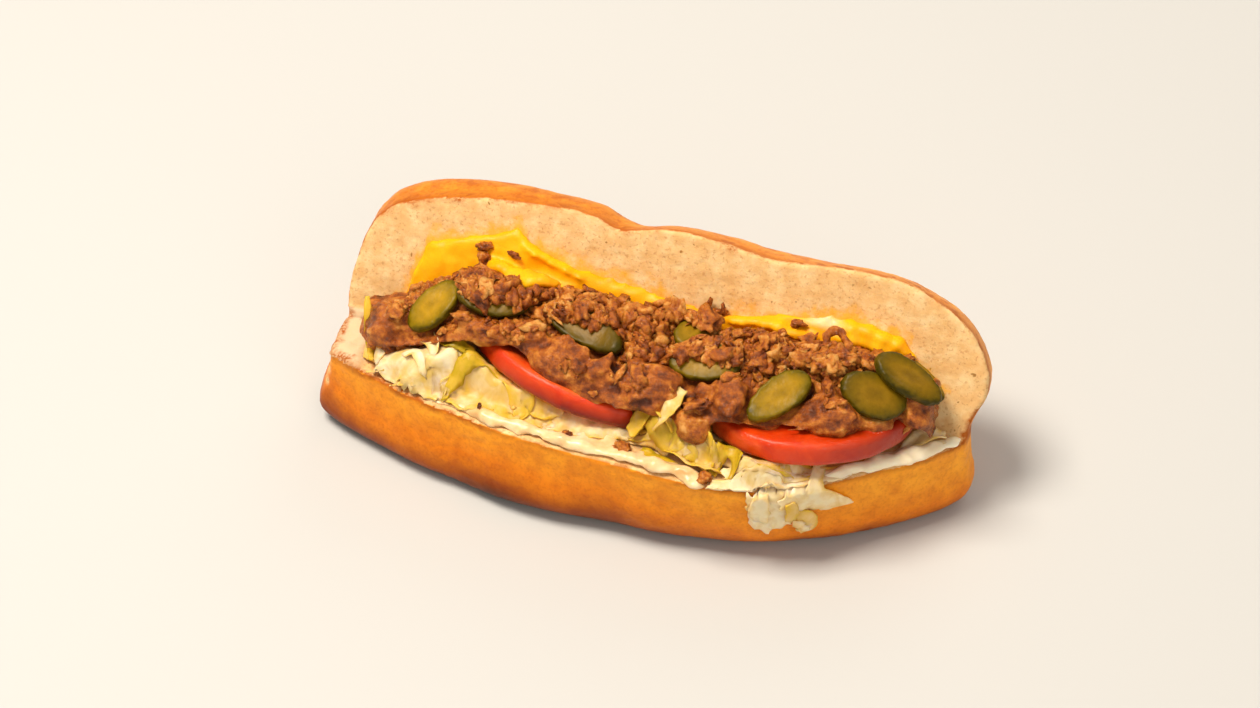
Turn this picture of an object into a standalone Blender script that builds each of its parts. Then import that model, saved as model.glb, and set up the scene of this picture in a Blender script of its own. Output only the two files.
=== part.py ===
"""An open, filled sub roll, lying on the flat underside of its bottom half.

The soft roll is cut along its front and folds open along a straight line at its back. On the bottom
half lie mayonnaise, shredded iceberg lettuce and two tomato slices. Chopped meat is heaped on them and
against the standing top half, with pickle slices on the heap and melted cheese behind it.

Frame: metres, +X along the roll, +Y towards its fold, +Z up. The origin is on the underside.
"""

import math
import random

import bmesh
import bpy
from mathutils import Matrix, Vector, noise
from mathutils.bvhtree import BVHTree

# Driving dimensions of the roll
FOLD = Vector((0.0, 0.018, 0.028))
FLAP_ANGLE = math.radians(61.0)
CUT_TILT = math.radians(4.0)
FLAP_THICKNESS = 0.0235
UNDERSIDE_TRIM = 1.04
GAP = 0.0004

# The rim of each half, as (x, distance from the fold line)
BOTTOM_RIM = (
    (-0.0998, 0.0100), (-0.0985, 0.0180), (-0.0877, 0.0226), (-0.0800, 0.0257), (-0.0660, 0.0303),
    (-0.0530, 0.0332), (-0.0400, 0.0368), (-0.0200, 0.0396), (0.0, 0.0412), (0.0130, 0.0426),
    (0.0250, 0.0430), (0.0370, 0.0418), (0.0475, 0.0384), (0.0580, 0.0327), (0.0684, 0.0258),
    (0.0790, 0.0182), (0.0892, 0.0100), (0.0955, 0.0030), (0.0965, -0.0030), (0.0900, -0.0085),
    (0.0500, -0.0100), (0.0, -0.0105), (-0.0500, -0.0100), (-0.0900, -0.0085), (-0.0985, -0.0010),
)
FLAP_RIM = (
    (-0.0995, 0.0050), (-0.0979, 0.0200), (-0.0954, 0.0290), (-0.0905, 0.0362), (-0.0800, 0.0410),
    (-0.0680, 0.0438), (-0.0555, 0.0455), (-0.0430, 0.0463), (-0.0306, 0.0466), (-0.0230, 0.0452),
    (-0.0176, 0.0428), (-0.0110, 0.0444), (0.0006, 0.0464), (0.0131, 0.0450), (0.0319, 0.0426),
    (0.0562, 0.0443), (0.0685, 0.0434), (0.0797, 0.0399), (0.0897, 0.0340), (0.0972, 0.0245),
    (0.0999, 0.0149), (0.0962, 0.0053), (0.0900, -0.0030), (0.0500, -0.0045), (0.0, -0.0045),
    (-0.0500, -0.0045), (-0.0930, -0.0030),
)
# How far each half's crust swells out past its rim, as (x, share of the distance to the axis)
BOTTOM_SWELL = ((-0.100, 0.30), (-0.070, 0.33), (-0.040, 0.27), (0.0, 0.14), (0.025, 0.03),
                (0.050, 0.02), (0.075, 0.15), (0.100, 0.20))
FLAP_SWELL = ((-0.100, 0.10), (-0.085, 0.26), (-0.070, 0.25), (-0.050, 0.19), (-0.035, 0.13),
              (-0.019, 0.16), (-0.011, 0.0), (0.004, 0.02), (0.020, 0.09), (0.035, 0.08), (0.050, -0.01),
              (0.062, -0.02), (0.075, 0.0), (0.090, 0.03), (0.102, 0.03))
CREASE_X = -0.0150

# Tomato slices: the middle of the lower front edge, the way the edge runs, the slope and the size
TOMATOES = {
    "tomato_left": dict(front=(-0.0322, -0.0106, 0.0398), along=(0.938, -0.336, -0.080), slope=27.0,
                        radius=0.040, depth=0.0125, thickness=0.0068),
    "tomato_right": dict(front=(0.0565, -0.0152, 0.0378), along=(0.962, 0.272, 0.0), slope=13.0,
                         radius=0.034, depth=0.0190, thickness=0.0075),
}

# The meat heap, as (x, value): its front toe, and how far up the flap it reaches
MEAT_TOE_Y = ((-0.091, 0.0045), (-0.084, -0.003), (-0.062, -0.001), (-0.046, 0.0015), (-0.026, -0.0065),
              (-0.006, -0.0130), (0.012, -0.0125), (0.035, -0.0130), (0.062, -0.0072), (0.075, 0.0005),
              (0.087, 0.0060))
MEAT_TOE_Z = ((-0.091, 0.036), (-0.075, 0.0405), (-0.050, 0.0480), (-0.030, 0.0470), (-0.006, 0.0440),
              (0.012, 0.0430), (0.030, 0.0460), (0.070, 0.0455), (0.080, 0.0430), (0.087, 0.0360))
MEAT_BACK = ((-0.091, 0.010), (-0.080, 0.0125), (-0.072, 0.0180), (-0.058, 0.0245), (-0.040, 0.0240),
             (-0.020, 0.0235), (0.005, 0.0230), (0.030, 0.0225), (0.060, 0.0230), (0.073, 0.0200),
             (0.087, 0.0125))
MEAT_ENDS = (-0.0905, 0.0865)
MEAT_BULGE = 0.0095
# The large lumps on the heap: x, share of the way up, half sizes, turn in degrees
LUMPS = (
    (-0.0240, 0.20, 0.0085, 0.0100, 0.0042, 20), (0.0040, 0.16, 0.0085, 0.0065, 0.0040, 10),
    (0.0590, 0.14, 0.0090, 0.0070, 0.0038, 0), (-0.0500, 0.10, 0.0080, 0.0045, 0.0032, -15),
    (-0.0825, 0.30, 0.0062, 0.0065, 0.0040, 0), (0.0280, 0.22, 0.0060, 0.0080, 0.0038, 0),
    (0.0820, 0.20, 0.0055, 0.0060, 0.0036, 0), (0.0160, 0.02, 0.0055, 0.0048, 0.0036, 0),
    (-0.0420, 0.62, 0.0042, 0.0060, 0.0030, 0), (-0.0580, 0.94, 0.0030, 0.0062, 0.0026, 0),
)
MEAT_OFF_FLAP = 0.0042

# How far back from the front rim the lettuce starts, and how high it stands at the heap's toe
LETTUCE_INSET = ((-0.090, 0.0030), (-0.066, 0.0022), (-0.058, 0.0084), (0.028, 0.0084), (0.034, 0.0010),
                 (0.048, 0.0010), (0.056, 0.0084), (0.075, 0.0084))
LETTUCE_ENDS = (-0.0895, 0.0735)
LETTUCE_BACK = 0.0095

# The cheese on the flap, as (x, distance from the fold line) of its upper edge
CHEESE_TOP = ((-0.0815, 0.0110), (-0.0795, 0.0210), (-0.0750, 0.0290), (-0.0660, 0.0323), (-0.0560, 0.0352),
              (-0.0480, 0.0380), (-0.0430, 0.0345), (-0.0390, 0.0318), (-0.0280, 0.0291), (-0.0150, 0.0264),
              (-0.0030, 0.0250), (0.0100, 0.0247), (0.0210, 0.0240), (0.0370, 0.0279), (0.0500, 0.0272),
              (0.0680, 0.0258), (0.0755, 0.0230), (0.0810, 0.0165), (0.0835, 0.0100))
CHEESE_FOOT = 0.0070
CHEESE_THICKNESS = 0.0022

# Pickle slices: x, share of the way from the heap's toe to the flap, long and short radius, and two
# turns in degrees: in the heap's own surface, and up off it towards the front
PICKLES = (
    (-0.0680, 0.50, 0.0100, 0.0058, 36, 6), (-0.0500, 0.52, 0.0115, 0.0062, -4, 10),
    (-0.0205, 0.56, 0.0130, 0.0060, -10, 12), (0.0105, 0.80, 0.0062, 0.0045, 60, 10),
    (0.0175, 0.52, 0.0108, 0.0062, 7, 8), (0.0420, 0.32, 0.0114, 0.0057, 42, 2),
    (0.0690, 0.38, 0.0105, 0.0068, -23, 4), (0.0755, 0.55, 0.0118, 0.0058, -13, 6),
    (0.0800, 0.90, 0.0085, 0.0048, -10, 0),
)
PICKLE_SINK = 0.0026
PICKLE_THICKNESS = 0.0034
PRESS_DEPTH = 0.012

# The two streaks of mayonnaise along the front rim: where each starts and ends along the roll
MAYONNAISE = {"mayonnaise_left": (-0.056, 0.026), "mayonnaise_right": (0.058, 0.091)}


def smooth_value(knots, x):
    """The value at x of a smooth curve through (x, value) knots."""
    if x <= knots[0][0]:
        return knots[0][1]
    for i in range(len(knots) - 1):
        (x0, v0), (x1, v1) = knots[i], knots[i + 1]
        if x <= x1:
            t = (x - x0) / (x1 - x0)
            t = t * t * (3 - 2 * t) * 0.5 + t * 0.5
            return v0 + (v1 - v0) * t
    return knots[-1][1]


def closed_outline(knots, count):
    """A smooth closed curve through the knots, as count points evenly spaced along it."""
    fine = []
    steps = 24
    for i in range(len(knots)):
        a, b, c, d = (Vector(knots[(i + k - 1) % len(knots)]) for k in range(4))
        for s in range(steps):
            t = s / steps
            fine.append(0.5 * (2 * b + (c - a) * t + (2 * a - 5 * b + 4 * c - d) * t * t
                               + (3 * b - a - 3 * c + d) * t ** 3))
    lengths = [(fine[(i + 1) % len(fine)] - p).length for i, p in enumerate(fine)]
    spacing = sum(lengths) / count
    points, walked, wanted = [], 0.0, 0.0
    for p, length in zip(fine, lengths):
        if walked + 1e-12 >= wanted and len(points) < count:
            points.append(p)
            wanted += spacing
        walked += length
    return points


def bump(x, centre, width):
    return math.exp(-((x - centre) / width) ** 2)


def material(name, colour, roughness):
    """A plain Principled finish; colour is linear."""
    made = bpy.data.materials.new(name)
    made.use_nodes = True
    shader = made.node_tree.nodes["Principled BSDF"]
    shader.inputs["Base Color"].default_value = (*colour, 1.0)
    shader.inputs["Roughness"].default_value = roughness
    return made


def new_object(name, bm, finish=None):
    """A scene object that takes over the bmesh, with its faces pointing out."""
    bmesh.ops.recalc_face_normals(bm, faces=bm.faces)
    mesh = bpy.data.meshes.new(name)
    bm.to_mesh(mesh)
    bm.free()
    obj = bpy.data.objects.new(name, mesh)
    bpy.context.scene.collection.objects.link(obj)
    if finish is not None:
        mesh.materials.append(finish)
    return obj


def shade(obj, angle=50.0):
    obj.data.shade_smooth()
    obj.data.set_sharp_from_angle(angle=math.radians(angle))


def tree_of(obj):
    return BVHTree.FromPolygons([v.co.copy() for v in obj.data.vertices],
                                [tuple(p.vertices) for p in obj.data.polygons])


def tree_of_bmesh(bm, grow=0.0):
    bm.normal_update()
    return BVHTree.FromPolygons([v.co + v.normal * grow for v in bm.verts],
                                [[v.index for v in f.verts] for f in bm.faces])


def crosses(bm, trees, clear=GAP):
    """Whether the bmesh, grown by the clearance, meets any of the trees."""
    bm.verts.index_update()
    grown = tree_of_bmesh(bm, clear)
    return any(grown.overlap(tree) for tree in trees)


def largest_piece(bm):
    """Drops every loose scrap but the largest."""
    left, pieces = set(bm.verts), []
    while left:
        seed = left.pop()
        piece, edge = {seed}, [seed]
        while edge:
            for link in edge.pop().link_edges:
                for v in link.verts:
                    if v in left:
                        left.discard(v)
                        piece.add(v)
                        edge.append(v)
        pieces.append(piece)
    keep = max(pieces, key=len)
    scraps = [v for piece in pieces if piece is not keep for v in piece]
    bmesh.ops.delete(bm, geom=scraps, context="VERTS")


def fuse(name, core, others, finish, solver="MANIFOLD"):
    """Joins the core and the other objects by one Boolean union, and removes the others."""
    group = bpy.data.collections.new(name + "_pieces")
    for obj in others:
        group.objects.link(obj)
    union = core.modifiers.new("Union", "BOOLEAN")
    union.operation = "UNION"
    union.operand_type = "COLLECTION"
    union.collection = group
    union.solver = solver
    bpy.context.view_layer.update()
    graph = bpy.context.evaluated_depsgraph_get()
    mesh = bpy.data.meshes.new_from_object(core.evaluated_get(graph))
    for obj in [*others, core]:
        bpy.data.objects.remove(obj)
    bpy.data.collections.remove(group)
    bm = bmesh.new()
    bm.from_mesh(mesh)
    bpy.data.meshes.remove(mesh)
    bmesh.ops.triangulate(bm, faces=bm.faces)
    largest_piece(bm)
    return new_object(name, bm, finish)


def ring_solid(rings):
    """A closed solid lofted through equal closed rings of points, with flat ends."""
    bm = bmesh.new()
    loops = [[bm.verts.new(p) for p in ring] for ring in rings]
    count = len(rings[0])
    for a, b in zip(loops, loops[1:]):
        for i in range(count):
            j = (i + 1) % count
            bm.faces.new((a[i], a[j], b[j], b[i]))
    bm.faces.new(loops[0][::-1])
    bm.faces.new(loops[-1])
    bmesh.ops.recalc_face_normals(bm, faces=bm.faces)
    return bm


# The two cut faces of the roll

def on_cut(x, reach, lift=0.0):
    """A point over the bottom half's cut face: reach is its distance from the fold, lift its height."""
    along = Vector((0.0, -math.cos(CUT_TILT), math.sin(CUT_TILT)))
    up = Vector((0.0, math.sin(CUT_TILT), math.cos(CUT_TILT)))
    return FOLD + Vector((x, 0, 0)) + along * reach + up * lift


def on_flap(x, reach, lift=0.0):
    """A point over the flap's cut face, which leans back."""
    along = Vector((0.0, math.cos(FLAP_ANGLE), math.sin(FLAP_ANGLE)))
    out = Vector((0.0, -math.sin(FLAP_ANGLE), math.cos(FLAP_ANGLE)))
    return FOLD + Vector((x, 0, 0)) + along * reach + out * lift


def cut_height(reach):
    return on_cut(0.0, reach).z


# The roll

def pulled_axis(x, middle, right_end, left_end):
    """Where the crust's rings close in to: a line inside the rim that ends short of the tips."""
    t = x / 0.1
    reach = middle + (right_end - middle) * max(0.0, t) ** 2 + (left_end - middle) * max(0.0, -t) ** 2
    return x * (1.0 - 0.27 * abs(t) ** 3), reach


def crust_ring(rim, angle, fullness, swell, axis):
    """The rim drawn in towards the axis, for one level of the crust, and the level's share of depth."""
    power = 2.0 / fullness
    deep = math.sin(angle) ** power
    ring = []
    for x, reach in rim:
        ax, ar = axis(x)
        inward = math.cos(angle) ** power + smooth_value(swell, x) * math.sin(2 * angle)
        ring.append((ax + (x - ax) * inward, ar + (reach - ar) * inward))
    return ring, deep


def bottom_half():
    """The bottom half: a flat cut face, full sides and a flat underside at z = 0."""
    rim = closed_outline(BOTTOM_RIM, 56)

    def axis(x):
        return pulled_axis(x, 0.0140, 0.0020, 0.0110)

    rings = [[on_cut(x, reach) for x, reach in rim]]
    for degrees in (7, 16, 27, 39, 51, 63, 75):
        ring, deep = crust_ring(rim, math.radians(degrees), 4.0, BOTTOM_SWELL, axis)
        deep = min(1.0, deep * UNDERSIDE_TRIM)
        level = []
        for x, reach in ring:
            point = on_cut(x, reach)
            crumple = 0.0006 * noise.noise(Vector((x * 70, reach * 90, degrees * 0.05)))
            point.z *= 1.0 - deep
            point.y += crumple if deep < 1.0 else 0.0
            level.append(point)
        rings.append(level)
    return new_object("bottom_half", ring_solid(rings))


def top_half():
    """The flap: the same kind of shell, standing on the fold line, with a crease across its crust."""
    rim = closed_outline(FLAP_RIM, 64)

    def axis(x):
        return pulled_axis(x, 0.0190, 0.0130, 0.0180)

    rings = [[on_flap(x, reach) for x, reach in rim]]
    for degrees in (7, 16, 28, 40, 52, 64, 77):
        ring, deep = crust_ring(rim, math.radians(degrees), 2.7, FLAP_SWELL, axis)
        level = []
        for x, reach in ring:
            crease = 0.0035 * bump(x, CREASE_X, 0.008) * deep
            wave = 0.0007 * noise.noise(Vector((x * 60, reach * 80, degrees * 0.04)))
            level.append(on_flap(x, reach, -(FLAP_THICKNESS * deep - crease + wave)))
        rings.append(level)
    return new_object("top_half", ring_solid(rings))


def make_roll(finish):
    roll = fuse("roll", bottom_half(), [top_half()], finish, solver="EXACT")
    shade(roll)
    return roll


# Tomato slices

def tomato_axes(spec):
    """(along the edge, towards the front and up, off the upper face) of a slice."""
    along = Vector(spec["along"]).normalized()
    level = Vector((along.y, -along.x, 0.0)).normalized()
    slope = math.radians(spec["slope"])
    front = (level * math.cos(slope) + Vector((0, 0, math.sin(slope)))).normalized()
    front = (front - along * front.dot(along)).normalized()
    return along, front, along.cross(front) * -1.0


def make_tomato(name, spec, finish):
    """The front of a round slice, cut straight where it goes in under the meat."""
    along, front, up = tomato_axes(spec)
    radius, depth, thick = spec["radius"], spec["depth"], spec["thickness"]
    centre = Vector(spec["front"]) - front * radius
    half = math.acos((radius - depth) / radius)
    steps = 18
    rings = []
    for lift, inset in ((0.0, 0.0009), (thick * 0.22, 0.0), (thick * 0.78, 0.0), (thick, 0.0009)):
        ring = []
        for k in range(steps + 1):
            a = -half + 2 * half * k / steps
            wavy = 1.0 + 0.008 * math.sin(5 * a + radius * 300)
            reach = (radius - inset) * wavy
            ring.append(centre + along * math.sin(a) * reach + front * math.cos(a) * reach + up * lift)
        rings.append(ring)
    obj = new_object(name, ring_solid(rings), finish)
    shade(obj, 35)
    return obj


# The meat heap

def heap_point(x, share):
    """A point on the bare heap's upper side: share 0 at its front toe, 1 where it meets the flap."""
    toe = Vector((x, smooth_value(MEAT_TOE_Y, x), smooth_value(MEAT_TOE_Z, x)))
    back = on_flap(x, smooth_value(MEAT_BACK, x), MEAT_OFF_FLAP)
    fall = min(1.0, max(0.0, (0.096 - abs(x)) / 0.03))
    control = (toe + back) * 0.5 + Vector((0.0, -0.35, 0.94)) * MEAT_BULGE * (0.45 + 0.75 * fall)
    lumps = 0.0009 * noise.noise(Vector((x * 90, share * 5, 3.0)))
    point = toe * (1 - share) ** 2 + control * 2 * share * (1 - share) + back * share ** 2
    return point + Vector((0, -0.4, 0.9)) * lumps * math.sin(math.pi * share)


def top_of(trees, x, y):
    """The height of the highest thing under (x, y) and a little to either side."""
    heights = [0.0]
    for dx in (-0.0045, -0.0022, 0.0, 0.0022, 0.0045):
        for dy in (-0.0020, 0.0, 0.0020):
            for tree in trees:
                hit = tree.ray_cast(Vector((x + dx, y + dy, 0.1)), Vector((0, 0, -1)))[0]
                if hit is not None:
                    heights.append(hit.z)
    return max(heights)


def heap_normal(x, share):
    """The way the bare heap's upper side faces."""
    side = heap_point(x + 0.002, share) - heap_point(x - 0.002, share)
    back = heap_point(x, share + 0.04) - heap_point(x, share - 0.04)
    return side.cross(back).normalized()


def sunk_point(x, share, pickles):
    """A point on the heap, pressed in where a pickle slice lies there or a little to either side."""
    normal = heap_normal(x, share)
    room = PRESS_DEPTH
    for dx in (-0.0042, -0.0020, 0.0, 0.0020, 0.0042):
        for ds in (-0.08, 0.0, 0.08):
            start = heap_point(x + dx, share + ds) - normal * PRESS_DEPTH
            for tree in pickles:
                distance = tree.ray_cast(start, normal, PRESS_DEPTH)[3]
                if distance is not None:
                    room = min(room, distance - 2 * GAP)
    return heap_point(x, share) - normal * (PRESS_DEPTH - room)


def heap_section(x, below, pickles):
    """The heap's closed cross-section at x: over the top, down the flap and back over what is below."""
    over = [sunk_point(x, k / 10, pickles) for k in range(11)]
    for point in over[:4]:
        point.z = max(point.z, top_of(below, x, point.y) + 3 * GAP)
    back = smooth_value(MEAT_BACK, x)
    down = [on_flap(x, back * share, MEAT_OFF_FLAP) for share in (0.72, 0.45)]
    toe = over[0]
    under = [Vector((x, 0.0152, 0.0350))]
    for y, drop in ((0.0146, 0.0040), (toe.y * 0.5 + 0.0052, 0.0030), (toe.y + 0.0030, 0.0018)):
        under.append(Vector((x, y, max(toe.z - drop, top_of(below, x, y) + 2 * GAP))))
    return over + down + under


def heap_core(below, pickles):
    start, end, count = *MEAT_ENDS, 36
    stations = [start + (end - start) * k / count for k in range(count + 1)]
    return ring_solid([heap_section(x, below, pickles) for x in stations])


def chunk(centre, size, turn, seed):
    """One lumpy bit of meat, as a small closed bmesh."""
    bm = bmesh.new()
    bmesh.ops.create_icosphere(bm, subdivisions=1, radius=1.0)
    for v in bm.verts:
        v.co *= 1.0 + 0.28 * noise.noise(v.co * 1.7 + Vector((seed * 3.1, seed, 0)))
    bm.transform(Matrix.Translation(centre) @ turn @ Matrix.Diagonal((*size, 1.0)))
    return bm


def heap_turn(x, share, turn):
    """The heap's own directions at a place, turned about its normal."""
    normal = heap_normal(x, share)
    side = (heap_point(x + 0.002, share) - heap_point(x - 0.002, share)).normalized()
    frame = Matrix((side, normal.cross(side), normal)).transposed().to_4x4()
    return frame @ Matrix.Rotation(turn, 4, "Z")


def fitted_chunk(name, x, share, size, turn, others, seed, smallest):
    """A chunk on the heap, made smaller until it is clear of the other pieces, or None."""
    scale = 1.0
    while scale >= smallest:
        scaled = [s * scale for s in size]
        bm = chunk(heap_point(x, share), scaled, heap_turn(x, share, turn), seed)
        if not crosses(bm, others):
            return new_object(name, bm)
        bm.free()
        scale -= 0.12
    return None


def make_meat(finish, core_solid, others, draw):
    """The heap: a bare core with the bits that show fused on."""
    core = new_object("meat_core", core_solid)
    bits = []
    for index, (x, share, *size, turn) in enumerate(LUMPS):
        bits.append(fitted_chunk(f"lump_{index}", x, share, size, math.radians(turn), others, index, 0.5))
    columns, rows = 19, 5
    for column in range(columns):
        for row in range(rows):
            x = -0.087 + 0.172 * (column + draw.uniform(0.1, 0.9)) / columns
            share = 0.12 + 0.86 * (row + draw.uniform(0.1, 0.9)) / rows
            large = draw.uniform(0.0028, 0.0052)
            size = (large, large * draw.uniform(0.55, 0.8), large * draw.uniform(0.45, 0.65))
            turn = draw.uniform(0, math.pi)
            seed = column * rows + row + 20
            bits.append(fitted_chunk(f"bit_{seed}", x, share, size, turn, others, seed, 0.76))
    meat = fuse("meat", core, [bit for bit in bits if bit is not None], finish)
    shade(meat, 60)
    return meat


# Pickle slices

def pickle(x, share, long_radius, short_radius, turn, tip, seed, lift):
    """One bent, oval slice over the heap's surface, as a closed bmesh."""
    place = heap_point(x, share) + heap_normal(x, share) * lift
    frame = Matrix.Translation(place) @ heap_turn(x, share, 0.0)
    frame = frame @ Matrix.Rotation(math.radians(tip), 4, "X") @ Matrix.Rotation(math.radians(turn), 4, "Z")
    steps, rings = 18, []
    for height, inset in ((-0.5, 0.07), (-0.28, 0.0), (0.28, 0.0), (0.5, 0.07)):
        ring = []
        for k in range(steps):
            a = 2 * math.pi * k / steps
            edge = (1.0 - inset) * (1.0 + 0.03 * math.sin(3 * a + seed))
            u, v = math.cos(a) * long_radius * edge, math.sin(a) * short_radius * edge
            bend = -6.0 * u * u + 3.0 * v * v
            ring.append(frame @ Vector((u, v, bend + height * PICKLE_THICKNESS)))
        rings.append(ring)
    return ring_solid(rings)


def place_pickle(index, spec, finish, trees):
    """Sets the slice into the heap, and lifts it until it is clear of what is already there."""
    lift = PICKLE_THICKNESS / 2 - PICKLE_SINK
    while True:
        bm = pickle(*spec, index, lift)
        if not crosses(bm, trees):
            break
        bm.free()
        lift += 0.0004
    obj = new_object(f"pickle_{index + 1}", bm, finish)
    shade(obj, 35)
    return obj


# Cheese, mayonnaise and lettuce

def make_cheese(finish):
    """A melted sheet that clings to the flap, thicker where it sagged on to the meat."""
    start, end = CHEESE_TOP[0][0], CHEESE_TOP[-1][0]
    rings = []
    count = 44
    for k in range(count + 1):
        x = start + (end - start) * k / count
        top = smooth_value(CHEESE_TOP, x)
        edge = min(1.0, (k + 0.6) / 3, (count - k + 0.6) / 3)
        ring = [on_flap(x, top, 0.0003), on_flap(x, CHEESE_FOOT, 0.0003)]
        for share in (0.0, 0.25, 0.5, 0.7, 0.85, 0.96):
            reach = CHEESE_FOOT + (top - 0.0004 - CHEESE_FOOT) * share
            swell = math.sin(math.pi * (0.18 + 0.74 * share)) ** 0.7
            waves = 0.0005 * noise.noise(Vector((x * 110, reach * 160, 7.0)))
            thick = (CHEESE_THICKNESS * swell + waves) * edge + 0.0004
            ring.append(on_flap(x, reach, 0.0003 + min(thick, MEAT_OFF_FLAP - 0.0010)))
        rings.append(ring)
    obj = new_object("cheese", ring_solid(rings), finish)
    shade(obj)
    return obj


def rim_reach(x):
    """How far the bottom half's front rim is from the fold line at x."""
    front = sorted((kx, kr) for kx, kr in BOTTOM_RIM[1:18])
    return smooth_value(front, x)


def make_mayonnaise(name, x_from, x_to, finish, seed):
    """A soft bead of mayonnaise along the front rim."""
    count = 26
    rings = []
    for k in range(count + 1):
        x = x_from + (x_to - x_from) * k / count
        ends = min(1.0, (k + 0.35) / 3, (count - k + 0.35) / 3) ** 0.5
        wander = noise.noise(Vector((x * 45, seed, 0)))
        width = (0.0027 + 0.0007 * wander) * ends
        height = (0.0026 + 0.0009 * noise.noise(Vector((x * 60, seed, 4)))) * ends
        middle = rim_reach(x) - 0.0032 + 0.0006 * wander
        ring = []
        for step in range(8):
            a = math.pi * step / 7
            ring.append(on_cut(x, middle + width * math.cos(a), GAP + height * math.sin(a)))
        rings.append(ring)
    obj = new_object(name, ring_solid(rings), finish)
    shade(obj)
    return obj


def strip(points, widths, thickness, flat, seed):
    """A wavy strip along the points, as a closed bmesh; flat is the way its face looks."""
    rings = []
    for i, p in enumerate(points):
        ahead = points[min(i + 1, len(points) - 1)] - points[max(i - 1, 0)]
        lean = flat + Vector((0.5, 0.3, 0.2)) * noise.noise(Vector((i * 0.9, seed, 1.0)))
        across = ahead.cross(lean).normalized() * widths[i] / 2
        up = across.cross(ahead).normalized() * thickness / 2
        rings.append([p - across - up, p + across - up, p + across + up, p - across + up])
    bm = ring_solid(rings)
    bmesh.ops.triangulate(bm, faces=bm.faces)
    return bm


def room_over_cut(trees, x, reach):
    """The free height over the cut face at a place and a little to either side."""
    room = 1.0
    for side in (-0.0050, -0.0025, 0.0, 0.0025, 0.0050):
        for step in (-0.0025, 0.0, 0.0025):
            start = on_cut(x + side, reach + step)
            for tree in trees:
                hit = tree.ray_cast(start, Vector((0, 0, 1)))[0]
                if hit is not None:
                    room = min(room, hit.z - start.z)
    return room


def bed_lift(x, reach, above):
    """How high the lettuce stands over the cut face: a bank from the front rim up to the heap's toe."""
    front = rim_reach(x) - smooth_value(LETTUCE_INSET, x)
    toe_reach = FOLD.y - smooth_value(MEAT_TOE_Y, x)
    toe_lift = smooth_value(MEAT_TOE_Z, x) - cut_height(toe_reach) - 0.0016
    share = min(1.0, max(0.0, (front - reach) / max(0.004, front - toe_reach)))
    ends = min(1.0, max(0.0, (x - LETTUCE_ENDS[0] + 0.001) / 0.010))
    ends = min(ends, max(0.0, (LETTUCE_ENDS[1] + 0.001 - x) / 0.010))
    lift = 0.0014 + (toe_lift - 0.0014) * (share ** 0.75) * ends ** 0.5
    lift += 0.0007 * noise.noise(Vector((x * 90, reach * 120, 9)))
    return max(2.2 * GAP, min(lift, room_over_cut(above, x, reach) - 2.4 * GAP))


def bed_section(x, above):
    """The bank's closed cross-section at x."""
    front = rim_reach(x) - smooth_value(LETTUCE_INSET, x)
    back = min(LETTUCE_BACK, front - 0.003)
    section = [on_cut(x, back, GAP), on_cut(x, front, GAP)]
    for share in (0.0, 0.14, 0.28, 0.42, 0.56, 0.70, 0.85, 1.0):
        reach = front + (back - front) * share
        section.append(on_cut(x, reach - (0.0004 if share == 0.0 else 0.0), bed_lift(x, reach, above)))
    return section


def make_lettuce(finish, above, others, draw):
    """Shredded lettuce: a banked core with the shreds that show fused on."""
    start, end, count = *LETTUCE_ENDS, 34
    stations = [start + (end - start) * k / count for k in range(count + 1)]
    core = new_object("lettuce_core", ring_solid([bed_section(x, above) for x in stations]))
    shreds = []
    tries = 0
    while len(shreds) < 26 and tries < 900:
        tries += 1
        x = draw.uniform(start + 0.006, end - 0.010)
        front = rim_reach(x) - smooth_value(LETTUCE_INSET, x)
        reach = front - draw.uniform(0.0, 0.016)
        angle = draw.uniform(-0.9, 0.9)
        length = draw.uniform(0.010, 0.022)
        wave = draw.uniform(0.0004, 0.0016)
        points = []
        for k in range(5):
            s = (k / 4 - 0.5) * length
            px, pr = x + s * math.cos(angle), reach - s * math.sin(angle)
            points.append(on_cut(px, pr, bed_lift(px, pr, above) + 0.0006 + wave * math.cos(1.6 * k + tries)))
        wide = draw.uniform(0.0032, 0.0060)
        widths = [wide * (0.60 + 0.40 * math.sin(math.pi * (k + 0.5) / 5)) for k in range(5)]
        bm = strip(points, widths, 0.0013, Vector((0, -0.6, 0.8)), tries)
        if crosses(bm, others):
            bm.free()
            continue
        shreds.append(new_object(f"shred_{tries}", bm))
    lettuce = fuse("lettuce", core, shreds, finish)
    shade(lettuce, 40)
    return lettuce


def make_spill(finish, roll_tree):
    """A pale tuft of lettuce that hangs down over the front crust."""
    def hanging(x_top, x_low, high, low, widths, seed, off):
        points, facing = [], Vector((0, 0, 0))
        for k in range(len(widths)):
            t = k / (len(widths) - 1)
            origin = Vector((x_top + (x_low - x_top) * t, -0.1, high + (low - high) * t))
            hit, normal = roll_tree.ray_cast(origin, Vector((0, 1, 0)))[:2]
            points.append(hit + normal * (off + 0.0007 * math.sin(4 * t + seed)))
            facing += normal
        return strip(points, widths, 0.0014, facing.normalized(), seed)

    def hung(name, *shape):
        off = 0.0012
        bm = hanging(*shape, off)
        while crosses(bm, [roll_tree]):
            bm.free()
            off += 0.0002
            bm = hanging(*shape, off)
        return new_object(name, bm)

    core = hung("spill_core", 0.0455, 0.0470, 0.0285, 0.0110,
                (0.0130, 0.0150, 0.0150, 0.0135, 0.0120, 0.0080), 0.4)
    point = hung("spill_point", 0.0500, 0.0650, 0.0265, 0.0195, (0.0080, 0.0090, 0.0080, 0.0060, 0.0028), 0.9)
    curl = hung("spill_curl", 0.0515, 0.0560, 0.0200, 0.0090, (0.0050, 0.0062, 0.0058, 0.0030), 1.7)
    spill = fuse("lettuce_spill", core, [point, curl], finish)
    shade(spill, 40)
    return spill


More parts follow.
